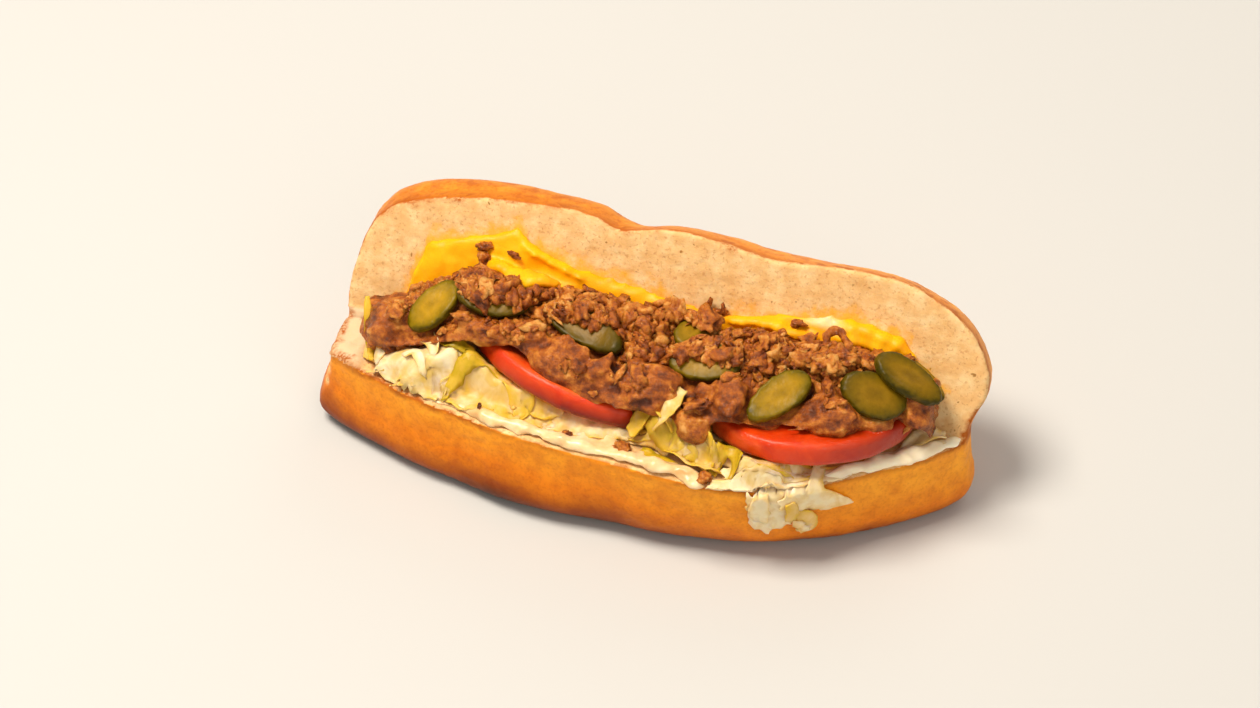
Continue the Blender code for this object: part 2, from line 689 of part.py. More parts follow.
def make_sandwich():
    """Puts the sandwich together from the bread up."""
    for obj in list(bpy.data.objects):
        bpy.data.objects.remove(obj)
    bread = material("soft_bread", (0.62, 0.29, 0.08), 0.55)
    green = material("iceberg_lettuce", (0.70, 0.72, 0.33), 0.40)
    white = material("mayonnaise", (0.86, 0.80, 0.62), 0.30)
    red = material("tomato", (0.62, 0.06, 0.02), 0.25)
    yellow = material("melted_cheese", (0.88, 0.53, 0.02), 0.30)
    brown = material("chopped_meat", (0.30, 0.13, 0.05), 0.50)
    olive = material("pickle", (0.30, 0.34, 0.03), 0.25)
    draw = random.Random(12)

    roll = make_roll(bread)
    fixed = [roll, make_cheese(yellow)]
    fixed += [make_tomato(name, spec, red) for name, spec in TOMATOES.items()]
    for seed, (name, ends) in enumerate(MAYONNAISE.items()):
        fixed.append(make_mayonnaise(name, *ends, white, 1.0 + 4.0 * seed))
    trees = [tree_of(obj) for obj in fixed]
    trees.append(tree_of(make_spill(green, trees[0])))
    tomatoes = trees[2:4]
    slices = []
    for index, spec in enumerate(PICKLES):
        slices.append(tree_of(place_pickle(index, spec, olive, [*trees, *slices])))
    trees += slices
    heap = heap_core(tomatoes, slices)
    heap.verts.index_update()
    heap_tree = tree_of_bmesh(heap)
    trees.append(tree_of(make_lettuce(green, [heap_tree, *tomatoes], [heap_tree, *trees], draw)))
    make_meat(brown, heap, trees, draw)


make_sandwich()
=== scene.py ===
import math
import random

import bmesh
import bpy
import numpy as np
from mathutils import Matrix, Vector, noise
from mathutils.bvhtree import BVHTree
from mathutils.kdtree import KDTree


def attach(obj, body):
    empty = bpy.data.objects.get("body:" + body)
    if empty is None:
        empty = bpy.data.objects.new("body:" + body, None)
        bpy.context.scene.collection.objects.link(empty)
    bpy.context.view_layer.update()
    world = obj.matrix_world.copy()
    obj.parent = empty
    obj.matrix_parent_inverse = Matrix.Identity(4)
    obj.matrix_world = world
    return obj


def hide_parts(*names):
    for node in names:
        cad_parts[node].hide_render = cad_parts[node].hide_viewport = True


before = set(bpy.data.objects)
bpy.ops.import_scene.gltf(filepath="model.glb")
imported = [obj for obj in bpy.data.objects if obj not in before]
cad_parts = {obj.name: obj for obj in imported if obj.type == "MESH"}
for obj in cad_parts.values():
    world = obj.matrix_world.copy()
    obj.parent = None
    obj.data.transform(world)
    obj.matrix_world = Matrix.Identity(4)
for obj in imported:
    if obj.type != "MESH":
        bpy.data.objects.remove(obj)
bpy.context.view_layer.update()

# The room: a plain pale floor under soft studio light, with the key light high at the left and behind.
# The camera looks 46 degrees down and 15 degrees round from the front, from about 1.4 m.
def linear(colour):
    """An sRGB hex colour as linear RGBA."""
    parts = [int(colour[i:i + 2], 16) / 255 for i in (1, 3, 5)]
    return (*[c / 12.92 if c <= 0.04045 else ((c + 0.055) / 1.055) ** 2.4 for c in parts], 1.0)


def add(tree, kind, settings=None, links=None):
    """Adds a node; settings go to its properties, sockets or colour stops, and links to its sockets."""
    node = tree.nodes.new("ShaderNode" + kind)
    for key, value in (settings or {}).items():
        if key == "stops":
            ramp = node.color_ramp
            for index, (place, colour) in enumerate(value):
                stop = ramp.elements[index] if index < 2 else ramp.elements.new(place)
                stop.position = place
                stop.color = linear(colour) if isinstance(colour, str) else (colour, colour, colour, 1.0)
        elif isinstance(key, int) or key in node.inputs:
            node.inputs[key].default_value = linear(value) if isinstance(value, str) else value
        else:
            setattr(node, key, value)
    for key, source in (links or {}).items():
        tree.links.new(source.outputs[0] if hasattr(source, "outputs") else source, node.inputs[key])
    return node


def finish_named(name, settings):
    """A new material whose Principled shader has the settings: (material, tree, shader, coordinates)."""
    made = bpy.data.materials.new(name)
    made.use_nodes = True
    tree = made.node_tree
    tree.nodes.clear()
    shader = add(tree, "BsdfPrincipled", settings)
    add(tree, "OutputMaterial", links={"Surface": shader})
    return made, tree, shader, add(tree, "TexCoord").outputs["Object"]


def shown(name, mesh, finish):
    """An object at the origin with the mesh and its material."""
    obj = bpy.data.objects.new(name, mesh)
    bpy.context.scene.collection.objects.link(obj)
    mesh.materials.clear()
    mesh.materials.append(finish)
    return obj


CAMERA_AT = Vector((0.23556, -0.89448, 1.01365))
CAMERA_AIM = Vector((-0.00961, 0.02050, 0.03274))
FOCAL_PIXELS = 4500
PHOTO_WIDTH = 1260

scene = bpy.context.scene
scene.view_settings.view_transform = "Standard"
lens = bpy.data.cameras.new("camera")
lens.sensor_width = 36.0
lens.lens = FOCAL_PIXELS / PHOTO_WIDTH * lens.sensor_width
lens.clip_start, lens.clip_end = 0.05, 20.0
camera = bpy.data.objects.new("camera", lens)
camera.location = CAMERA_AT
camera.rotation_euler = (CAMERA_AIM - CAMERA_AT).to_track_quat("-Z", "Y").to_euler()
scene.collection.objects.link(camera)
scene.camera = camera

FLOOR_HALF = 3.0
floor_finish = finish_named("pale_floor", {"Base Color": "#C4C5C8", "Roughness": 0.8})[0]
bm = bmesh.new()
bmesh.ops.create_grid(bm, x_segments=1, y_segments=1, size=FLOOR_HALF)
mesh = bpy.data.meshes.new("floor")
bm.to_mesh(mesh)
bm.free()
shown("floor", mesh, floor_finish)

LAMP_COLOUR = (1.0, 0.90, 0.74)
for name, where, size, watts in (("key", (-0.45, -0.10, 1.30), 0.50, 24.0),
                                 ("fill", (0.9, -1.0, 0.8), 1.2, 5.8), ("back", (0.3, 1.2, 0.8), 0.9, 4.4)):
    light = bpy.data.lights.new(name, "AREA")
    light.energy, light.size, light.color = watts, size, LAMP_COLOUR
    lamp = bpy.data.objects.new(name, light)
    lamp.location = where
    lamp.rotation_euler = (CAMERA_AIM - Vector(where)).to_track_quat("-Z", "Y").to_euler()
    scene.collection.objects.link(lamp)
world = bpy.data.worlds.new("studio")
world.use_nodes = True
world.node_tree.nodes["Background"].inputs["Color"].default_value = (1.0, 0.93, 0.83, 1.0)
world.node_tree.nodes["Background"].inputs["Strength"].default_value = 0.40
scene.world = world

# The roll: a soft white-flour sub roll, egg-washed and baked golden, cut along its front and folded open.
# The crust is thin and smooth with fine crinkles; the cut faces are open crumb, toasted along the rim.
FOLD = Vector((0.0, 0.018, 0.028))
CUT_SLOPE, FLAP_TILT = math.radians(4), math.radians(61)
CUT_FACING = Vector((0.0, math.sin(CUT_SLOPE), math.cos(CUT_SLOPE)))
FLAP_FACING = Vector((0.0, -math.sin(FLAP_TILT), math.cos(FLAP_TILT)))
UP_FLAP = Vector((0.0, math.cos(FLAP_TILT), math.sin(FLAP_TILT)))
BREAD_VOXEL = 0.00095
RIM_REACH = 12.0


def merged_copy(node):
    """A node's solid as a bmesh of its own, with its triangles joined."""
    bm = bmesh.new()
    bm.from_mesh(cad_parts[node].data)
    bmesh.ops.remove_doubles(bm, verts=bm.verts, dist=1e-6)
    return bm


def relax(bm, verts, rounds, factor=0.5):
    """Smooths the points a number of rounds."""
    for _ in range(rounds):
        bmesh.ops.smooth_vert(bm, verts=verts, factor=factor, use_axis_x=True, use_axis_y=True,
                              use_axis_z=True)
    bm.normal_update()


def evened(bm, voxel, rounds=0):
    """The solids of a bmesh as one even fine skin, relaxed a number of rounds."""
    mesh = bpy.data.meshes.new("rough")
    bm.to_mesh(mesh)
    bm.free()
    obj = bpy.data.objects.new("rough", mesh)
    scene.collection.objects.link(obj)
    even = obj.modifiers.new("Even", "REMESH")
    even.mode = "VOXEL"
    even.voxel_size = voxel
    fine = bmesh.new()
    fine.from_object(obj, bpy.context.evaluated_depsgraph_get())
    bpy.data.objects.remove(obj)
    bpy.data.meshes.remove(mesh)
    relax(fine, fine.verts, rounds)
    return fine


def to_mesh(bm, name, values=None):
    """The bmesh as a smooth-shaded mesh, with a number for each vertex under each of the values' names."""
    bm.normal_update()
    mesh = bpy.data.meshes.new(name)
    bm.to_mesh(mesh)
    bm.free()
    for key, numbers in (values or {}).items():
        mesh.attributes.new(key, "FLOAT", "POINT").data.foreach_set("value", numbers)
    mesh.shade_smooth()
    return mesh


def tree_of(*meshes):
    """A search tree over the faces of the meshes."""
    corners, sides = [], []
    for mesh in meshes:
        sides += [[len(corners) + i for i in p.vertices] for p in mesh.polygons]
        corners += [v.co for v in mesh.vertices]
    return BVHTree.FromPolygons(corners, sides)


def ripple(point, size_mm, octaves=1, seed=0.0):
    """Noise from about -1 to 1 with features of the given size."""
    where = point * (1000 / size_mm) + Vector((seed, seed * 1.7, seed * 0.6))
    return noise.noise(where) if octaves == 1 else noise.fractal(where, 0.8, 2.1, octaves)


def clipped(number):
    """The number held between 0 and 1."""
    return min(1.0, max(0.0, number))


bread = merged_copy("roll")
rim_points = []
for edge in bread.edges:
    on_cut_face = [max(f.normal.dot(CUT_FACING), f.normal.dot(FLAP_FACING)) > 0.9993
                   for f in edge.link_faces]
    if len(on_cut_face) == 2 and on_cut_face[0] != on_cut_face[1]:
        a, b = edge.verts[0].co, edge.verts[1].co
        steps = max(1, int((b - a).length / 0.0005))
        rim_points += [a.lerp(b, k / steps) for k in range(steps)]
rim_tree = KDTree(len(rim_points))
for index, point in enumerate(rim_points):
    rim_tree.insert(point, index)
rim_tree.balance()

bread = evened(bread, BREAD_VOXEL)
rim_distance = []
for v in bread.verts:
    from_fold = v.co - FOLD
    over_cut, over_flap = from_fold.dot(CUT_FACING), from_fold.dot(FLAP_FACING)
    on_face = (abs(over_cut) < 0.0007 and v.normal.dot(CUT_FACING) > 0.5 and from_fold.y < 0.001) or (
        abs(over_flap) < 0.0007 and v.normal.dot(FLAP_FACING) > 0.5 and from_fold.z > -0.001)
    distance = min(rim_tree.find(v.co)[2] * 1000, RIM_REACH)
    rim_distance.append(distance if on_face else -distance)
relax(bread, [v for v, d in zip(bread.verts, rim_distance) if d < -1.2 and v.co.z > 0.0012], 14)
relax(bread, [v for v, d in zip(bread.verts, rim_distance) if abs(d) <= 1.6], 3)

# The left end of the bottom half is torn: the crust is missing at its tip, and the crumb swells over the
# cut. Where each starts along the roll, in metres, and up to which height.
TORN_FROM, SWOLLEN_FROM, TORN_TOP = -0.0993, -0.0868, 0.0325
tear_depth, swollen = [], []
for v, d in zip(bread.verts, rim_distance):
    p = v.co
    end = (TORN_FROM - p.x) * 1000 + 1.5 * ripple(p, 6, 2, 3.0)
    low = (p.z - 0.0150) * 1000 + 2.0 * ripple(p, 7, 2, 8.0)
    torn = clipped(min(end, low)) if p.z < TORN_TOP and p.y < 0.012 else 0.0
    tear_depth.append(torn)
    inside = min((SWOLLEN_FROM - p.x) * 1000 + 2.0 * ripple(p, 8, 2, 6.0), d * 1.2 + 0.4)
    swollen.append(clipped(inside / 2.5) if d > -0.5 and p.z < 0.031 else 0.0)
moves = []
for v, d, torn, swell in zip(bread.verts, rim_distance, tear_depth, swollen):
    p = v.co
    crumb = max(clipped((d + 0.2) / 0.8), torn)
    crust = 1.0 - crumb
    patch = max(0.0, ripple(p, 34, 1, 5.0) + 0.25)
    crease = -abs(ripple(Vector((p.x * 0.9 + p.z * 0.5, p.y * 0.6, p.z * 1.5 - p.x * 0.35)), 5.0, 1, 2.0))
    skin = 0.30 * ripple(p, 24, 2, 1.0) + 0.62 * patch * crease + 0.10 * ripple(p, 2.6, 1, 4.0)
    pits = -0.6 * max(0.0, ripple(p, 2.1, 1, 9.0) - 0.30) - 0.4 * max(0.0, ripple(p, 1.3, 1, 6.0) - 0.32)
    loose = 0.16 * ripple(p, 6.0, 2, 7.0) + 0.05 * ripple(p, 1.6, 1, 3.0) + pits - 0.06
    rags = torn * (0.9 * ripple(p, 3.4, 3, 12.0) - 0.9)
    puff = swell * (1.3 + 1.1 * ripple(p, 6.5, 3, 15.0))
    lift = crust * skin + crumb * loose + rags + puff
    if d < -9 and p.z < 0.0015:
        lift = 0.0
    moves.append(v.normal * lift * 0.001)
for v, move in zip(bread.verts, moves):
    v.co += move
    v.co.z = max(v.co.z, 0.0)
# Browned places along the flap's rim: middle and half length in mm, and how brown.
SEARED = ((-84, 9, 1.0), (-68, 7, 0.9), (-45, 12, 0.4), (-18, 11, 0.7), (18, 8, 1.0), (45, 14, 0.3),
          (78, 10, 0.3))
browned = []
for v, d in zip(bread.verts, rim_distance):
    along_left = clipped((-0.058 - v.co.x) / 0.012) * (v.co.z < 0.034)
    stripe = clipped(1.6 - abs(d - 0.8 + 1.2 * ripple(v.co, 5, 2, 21.0)) / 1.1)
    spots = clipped(ripple(v.co, 3.0, 1, 28.0) * 5 - 1.9) * (v.co.x < -0.085 and v.co.z < 0.034)
    seared = max(weight * max(0.0, 1.2 - abs(v.co.x * 1000 - at) / reach) for at, reach, weight in SEARED)
    seared *= clipped(1.5 - abs(d + 1.0 + 1.6 * ripple(v.co, 6, 2, 26.0)) / 2.0) * (v.co.z > 0.040)
    seared *= clipped(0.7 + 1.5 * ripple(v.co, 3.5, 2, 29.0))
    stripe *= along_left * clipped(0.7 + ripple(v.co, 4, 2, 24.0)) * (d > -1.0)
    browned.append(max(stripe, spots * (d > -1.0), min(1.0, seared)))
painted_rim = [d + (0.6 + 1.3 * clipped((v.co.x + 0.020) / 0.03) + 0.9 * ripple(v.co, 8, 2, 33.0))
               * (v.co.z > 0.036) for v, d in zip(bread.verts, rim_distance)]
bread_mesh = to_mesh(bread, "bread", {"rim": painted_rim, "torn": tear_depth, "swollen": swollen,
                                      "browned": browned})

# Crust and crumb of one dough: the crust satin and golden orange, painted darker towards its foot and
# lighter towards its right end as painted shade and light, the crumb matt and creamy with fine pores,
# whitest where it is torn, and browned along the rim. The pores are drawn 1 mm across and the skin's
# pitting 2 mm, coarser than the real ones, so that both show.
bread_finish, tree, shader, place = finish_named("white_sub_bread", {
    "Specular IOR Level": 0.16, "Subsurface Weight": 0.10, "Subsurface Radius": (1.0, 0.45, 0.12),
    "Subsurface Scale": 0.0015})
height = add(tree, "SeparateXYZ", links={0: place}).outputs["Z"]
rim = add(tree, "Attribute", {"attribute_name": "rim"}).outputs["Fac"]
torn = add(tree, "Attribute", {"attribute_name": "torn"}).outputs["Fac"]
swollen_part = add(tree, "Attribute", {"attribute_name": "swollen"}).outputs["Fac"]
near = add(tree, "Attribute", {"attribute_name": "cheese"}).outputs["Fac"]
broad = add(tree, "TexNoise", {"Scale": 1000 / 30, "Detail": 3.0}, {"Vector": place})
mottle = add(tree, "TexNoise", {"Scale": 1000 / 5, "Detail": 5.0, "Roughness": 0.6}, {"Vector": place})
speck = add(tree, "TexNoise", {"Scale": 1000 / 1.0, "Detail": 2.0}, {"Vector": place})
sideways = add(tree, "SeparateXYZ", links={0: place}).outputs["X"]
# Painted shade and light: the crust darkens towards its foot and lightens towards its right end; the broad
# noise adds its own uneven tone.
level = add(tree, "MapRange", {"From Min": 0.0, "From Max": 0.034, "To Max": 0.85}, {"Value": height})
to_right = add(tree, "MapRange", {"From Min": 0.0, "From Max": 0.09, "To Max": 0.22}, {"Value": sideways})
level = add(tree, "Math", {"operation": "ADD"}, {0: level, 1: to_right})
wander = add(tree, "Math", {"operation": "MULTIPLY_ADD", 1: 0.5, 2: -0.17}, {0: broad})
level = add(tree, "Math", {"operation": "ADD"}, {0: level, 1: wander})
crust_colour = add(tree, "ValToRGB", {"stops": [
    (0.06, "#381200"), (0.28, "#A44E04"), (0.50, "#EC8610"), (0.85, "#FFAA28")]},
    {0: level})
flap_part = add(tree, "MapRange", {"From Min": 0.036, "From Max": 0.056, "To Max": 0.75}, {"Value": height})
# Painted light: the flap's crust is painted lighter towards the right, where the key light reaches it less.
flap_golden = add(tree, "MapRange", {"From Min": -0.04, "From Max": 0.06}, {"Value": sideways})
flap_colour = add(tree, "MixRGB", {1: "#D08028", 2: "#E8A048"}, {0: flap_golden})
crust_colour = add(tree, "MixRGB", {}, {0: flap_part, 1: crust_colour, 2: flap_colour})
mottled = add(tree, "ValToRGB", {"stops": [(0.35, "#C07C38"), (0.62, "#FFFFFF")]}, {0: mottle})
mottled_part = add(tree, "MapRange", {"From Min": 0.036, "From Max": 0.056, "To Min": 0.34, "To Max": 0.62},
                   {"Value": height})
crust_colour = add(tree, "MixRGB", {"blend_type": "MULTIPLY"}, {0: mottled_part, 1: crust_colour, 2: mottled})
grit = add(tree, "ValToRGB", {"stops": [(0.36, "#C08038"), (0.50, "#FFFFFF")]}, {0: speck})
crust_colour = add(tree, "MixRGB", {"blend_type": "MULTIPLY", 0: 0.20}, {1: crust_colour, 2: grit})
crumb_colour = add(tree, "ValToRGB", {"stops": [
    (0.30, "#DCAA6E"), (0.49, "#E4B980"), (0.68, "#ECCC98")]}, {0: mottle})
pore = add(tree, "ValToRGB", {"stops": [(0.32, "#B87C3C"), (0.42, "#FFFFFF")]}, {0: speck})
crumb_colour = add(tree, "MixRGB", {"blend_type": "MULTIPLY", 0: 0.35}, {1: crumb_colour, 2: pore})
fleck_noise = add(tree, "TexNoise", {"Scale": 1000 / 2.0, "Detail": 1.0}, {"Vector": place})
fleck = add(tree, "ValToRGB", {"stops": [(0.74, 0.0), (0.80, 0.8)]}, {0: fleck_noise})
crumb_colour = add(tree, "MixRGB", {2: "#8E5C20"}, {0: fleck, 1: crumb_colour})
crumb_colour = add(tree, "MixRGB", {2: "#DCC09C"}, {0: swollen_part, 1: crumb_colour})
edge_wander = add(tree, "Math", {"operation": "MULTIPLY_ADD", 1: 6.0, 2: -3.0}, {0: mottle})
wandering_rim = add(tree, "Math", {"operation": "ADD"}, {0: rim, 1: edge_wander})
toast_mask = add(tree, "ValToRGB", {"stops": [(0.06, 0.0), (0.32, 0.8), (0.46, 1.0), (0.54, 0.5), (0.66, 0.0)]},
                 {0: add(tree, "MapRange", {"From Min": -3.0, "From Max": 3.5}, {"Value": wandering_rim})})
toast_patch = add(tree, "ValToRGB", {"stops": [(0.36, 0.30), (0.58, 1.0)]}, {0: broad})
toast_mask = add(tree, "Math", {"operation": "MULTIPLY"}, {0: toast_mask, 1: toast_patch})
scorch = add(tree, "ValToRGB", {"stops": [(0.48, 0.0), (0.60, 0.9)]}, {0: mottle})
scorch_band = add(tree, "ValToRGB", {"stops": [(0.0, 0.0), (0.5, 1.0), (0.9, 1.0), (1.0, 0.0)]},
                  {0: add(tree, "MapRange", {"From Min": -5.0, "From Max": 1.4}, {"Value": rim})})
scorch_band = add(tree, "Math", {"operation": "MULTIPLY"}, {0: scorch_band, 1: scorch})
high = add(tree, "MapRange", {"From Min": 0.035, "From Max": 0.050}, {"Value": height})
scorch_band = add(tree, "Math", {"operation": "MULTIPLY"}, {0: scorch_band, 1: high})
toast_mask = add(tree, "Math", {"operation": "MAXIMUM"}, {0: toast_mask, 1: scorch_band})
left_toast = add(tree, "Attribute", {"attribute_name": "browned"}).outputs["Fac"]
speckled = add(tree, "ValToRGB", {"stops": [(0.40, 0.35), (0.56, 1.0)]}, {0: speck})
left_toast = add(tree, "Math", {"operation": "MULTIPLY"}, {0: left_toast, 1: speckled})
toast_mask = add(tree, "Math", {"operation": "MAXIMUM"}, {0: toast_mask, 1: left_toast})
face_mask = add(tree, "MapRange", {"From Min": -0.1, "From Max": 0.5}, {"Value": rim})
face_mask = add(tree, "Math", {"operation": "MAXIMUM"}, {0: face_mask, 1: torn})
bread_colour = add(tree, "MixRGB", {}, {0: face_mask, 1: crust_colour, 2: crumb_colour})
bread_colour = add(tree, "MixRGB", {2: "#A85410"}, {0: toast_mask, 1: bread_colour})
near_wander = add(tree, "Math", {"operation": "MULTIPLY_ADD", 1: 16.0, 2: -8.0}, {0: mottle})
near = add(tree, "Math", {"operation": "ADD"}, {0: near, 1: near_wander})
stain = add(tree, "MapRange", {"From Min": 3.6, "From Max": 0.0, "To Max": 0.75}, {"Value": near})
bread_colour = add(tree, "MixRGB", {2: "#F0AE22"}, {0: stain, 1: bread_colour})
tree.links.new(bread_colour.outputs[0], shader.inputs["Base Color"])
rough = add(tree, "MapRange", {"To Min": 0.45, "To Max": 0.85}, {"Value": face_mask})
tree.links.new(rough.outputs[0], shader.inputs["Roughness"])
fine = add(tree, "TexNoise", {"Scale": 1000 / 1.3, "Detail": 4.0, "Roughness": 0.7}, {"Vector": place})
skin_relief = add(tree, "TexNoise", {"Scale": 1000 / 2.0, "Detail": 3.0}, {"Vector": place})
relief = add(tree, "MixRGB", {}, {0: face_mask, 1: skin_relief, 2: fine})
deep = add(tree, "MapRange", {"To Min": 0.12, "To Max": 0.6}, {"Value": face_mask})
bumped = add(tree, "Bump", {"Distance": 0.0004}, {"Height": relief, "Strength": deep})
tree.links.new(bumped.outputs[0], shader.inputs["Normal"])

roll = shown("sub_roll", bread_mesh, bread_finish)
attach(roll, "root")
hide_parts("roll")

# Shredded iceberg lettuce, raw: pale ribs and yellow-green leaf, cut into broad pieces and strips and
# heaped on the bottom half. Thin, moist and slightly see-through. A bank fills the space below, and the
# leaves lie over it.
lettuce_finish, tree, shader, place = finish_named("iceberg_lettuce", {
    "Roughness": 0.38, "Specular IOR Level": 0.25, "Subsurface Weight": 0.4,
    "Subsurface Radius": (1.0, 0.72, 0.22), "Subsurface Scale": 0.003})
green = add(tree, "Attribute", {"attribute_name": "green"}).outputs["Fac"]
vein = add(tree, "TexNoise", {"Scale": 1000 / 5, "Detail": 4.0, "Distortion": 0.6}, {"Vector": place})
mixed = add(tree, "Math", {"operation": "MULTIPLY_ADD", 1: 0.8, 2: -0.40}, {0: vein})
mixed = add(tree, "Math", {"operation": "ADD"}, {0: mixed, 1: green})
leaf_colour = add(tree, "ValToRGB", {"stops": [
    (0.0, "#FDE2B4"), (0.13, "#F4D098"), (0.30, "#E6BA70"), (0.50, "#E0B03C"),
    (0.72, "#C8A01C"), (1.0, "#86740C")]}, {0: mixed})
tree.links.new(leaf_colour.outputs[0], shader.inputs["Base Color"])
crinkle = add(tree, "TexNoise", {"Scale": 1000 / 3.0, "Detail": 3.0}, {"Vector": place})
tree.links.new(add(tree, "Bump", {"Distance": 0.0006, "Strength": 0.4}, {"Height": crinkle}).outputs[0],
               shader.inputs["Normal"])

bank = evened(merged_copy("lettuce"), 0.0011, 5)
bank_green = []
for v in bank.verts:
    v.co += v.normal * 0.001 * (0.45 * ripple(v.co, 5, 2, 2.0) - 0.6)
    bank_green.append(0.28 + 0.30 * ripple(v.co, 12, 1, 1.0))
bank_mesh = to_mesh(bank, "lettuce_bank", {"green": bank_green})
bed_tree = tree_of(bank_mesh, bread_mesh)
lettuce = shown("lettuce_bank", bank_mesh, lettuce_finish)
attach(lettuce, "root")
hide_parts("lettuce")


def along(values, share):
    """A smooth curve through the values, read at a share of its length."""
    k = min(len(values) - 2, int(share * (len(values) - 1)))
    t = share * (len(values) - 1) - k
    a, b, c, d = (values[min(len(values) - 1, max(0, k + i))] for i in (-1, 0, 1, 2))
    return 0.5 * (2 * b + (c - a) * t + (2 * a - 5 * b + 4 * c - d) * t * t
                  + (3 * b - a - 3 * c + d) * t ** 3)


def under(tree, x, y):
    """The highest point of a surface at (x, y), and its normal, or (None, None)."""
    return tree.ray_cast(Vector((x, y, 0.09)), Vector((0, 0, -1)))[:2]


def thickened(bm, numbers, thickness):
    """Gives a sheet a second side below it: (closed bmesh, numbers for both sides)."""
    bm.normal_update()
    offsets = {tuple(v.co): (v.normal.copy(), number) for v, number in zip(bm.verts, numbers)}
    grown = bmesh.ops.extrude_face_region(bm, geom=bm.faces[:], use_keep_orig=True)
    below = [v for v in grown["geom"] if isinstance(v, bmesh.types.BMVert)]
    values = {}
    for v in bm.verts:
        values[v] = offsets[tuple(v.co)][1]
    for v in below:
        v.co -= offsets[tuple(v.co)][0] * thickness
    bmesh.ops.recalc_face_normals(bm, faces=bm.faces)
    return bm, [values[v] for v in bm.verts]


def taken_apart(bm):
    """The corners and faces of a bmesh, which is freed."""
    bm.verts.index_update()
    shape = [v.co[:] for v in bm.verts], [[v.index for v in f.verts] for f in bm.faces]
    bm.free()
    return shape


def leaf(spots, widths, tone, seed, lay, wave=0.8, edges=(0.0, 0.0), grain=0.9, thickness=0.4):
    """A torn piece of leaf along spots of three mm values: (corners, faces, greenness).

    Its points are put in place by lay(centre, middle, out, fold)."""
    spots = [np.array(s, float) for s in spots]
    length = sum(np.linalg.norm(b - a) for a, b in zip(spots, spots[1:]))
    bm = bmesh.new()
    steps = max(6, int(length / grain)), max(4, int(max(widths) / grain))
    bmesh.ops.create_grid(bm, x_segments=steps[0], y_segments=steps[1], size=1.0)
    greens = []
    for v in bm.verts:
        u, w = (v.co.x + 1) / 2, v.co.y
        centre, width = along(spots, u), max(0.4, along(widths, u))
        ahead = along(spots, min(1.0, u + 0.02)) - along(spots, max(0.0, u - 0.02))
        ahead /= np.linalg.norm(ahead[:2]) + 1e-9
        q = Vector((u * length / 6 + seed, w * width / 12, seed * 0.37))
        out = w * width / 2 * (1.0 + 0.20 * noise.noise(q * 3.1) + 0.14 * noise.noise(q * 7.0))
        torn_end = 0.6 * noise.noise(Vector((w * width / 4, seed, 0))) + 0.1
        reach = (max(0.0, u - 0.8) - max(0.0, 0.2 - u)) * torn_end * min(length, 24)
        fold = wave * (noise.noise(q * 1.6) + 0.6 * noise.noise(q * 3.4) + 0.5)
        fold = max(fold, -0.1) + edges[0] * max(0.0, -w) ** 2 + edges[1] * max(0.0, w) ** 2
        v.co = lay(centre, centre[:2] + ahead[:2] * reach, np.array((-ahead[1], ahead[0])) * out, fold)
        greens.append(tone + 0.14 * abs(w) ** 3 + 0.18 * noise.noise(q * 1.5) + 0.10 * noise.noise(q * 5.0))
    bm, greens = thickened(bm, greens, thickness * 0.001)
    return (*taken_apart(bm), greens)


def drape(spots, *rest, past_rim=0.7, **more):
    """A leaf laid over the bed along spots of (x, y, lift), held back inside the rim of the cut face."""
    def lay(centre, middle, out, fold):
        for keep in (1.0, 0.85, 0.7, 0.55, 0.4, 0.25, 0.1, 0.0):
            x, y = (middle + out * keep) * 0.001
            hit = under(bed_tree, x, y)[0]
            if hit is not None and (hit - FOLD).dot(CUT_FACING) > -past_rim * 0.001:
                break
        heights = [h[0].z for h in (under(bed_tree, x + i, y + j) for i, j in (
            (0, 0), (0.0012, 0), (-0.0012, 0), (0, 0.0012), (0, -0.0012))) if h[0] is not None]
        base = max(heights[0], sum(heights) / len(heights)) if heights else FOLD.z + 0.07 * (FOLD.y - y)
        return Vector((x, y, base + (0.25 + centre[2] + fold) * 0.001))
    return leaf(spots, *rest, lay=lay, **more)


def ribbon(spots, *rest, **more):
    """A leaf that stands free along spots of (x, y, z)."""
    def lay(centre, middle, out, fold):
        return Vector((*(middle + out), centre[2] + fold)) * 0.001
    return leaf(spots, *rest, lay=lay, **more)


def joined(name, parts, finish, key):
    """Joins (corners, faces, numbers) parts into one shown object, with the numbers as its attribute."""
    corners, faces, values = [], [], []
    for points, sides, numbers in parts:
        faces += [[len(corners) + i for i in side] for side in sides]
        corners += points
        values += numbers
    mesh = bpy.data.meshes.new(name)
    mesh.from_pydata(corners, [], faces)
    mesh.attributes.new(key, "FLOAT", "POINT").data.foreach_set("value", values)
    mesh.shade_smooth()
    return shown(name, mesh, finish)


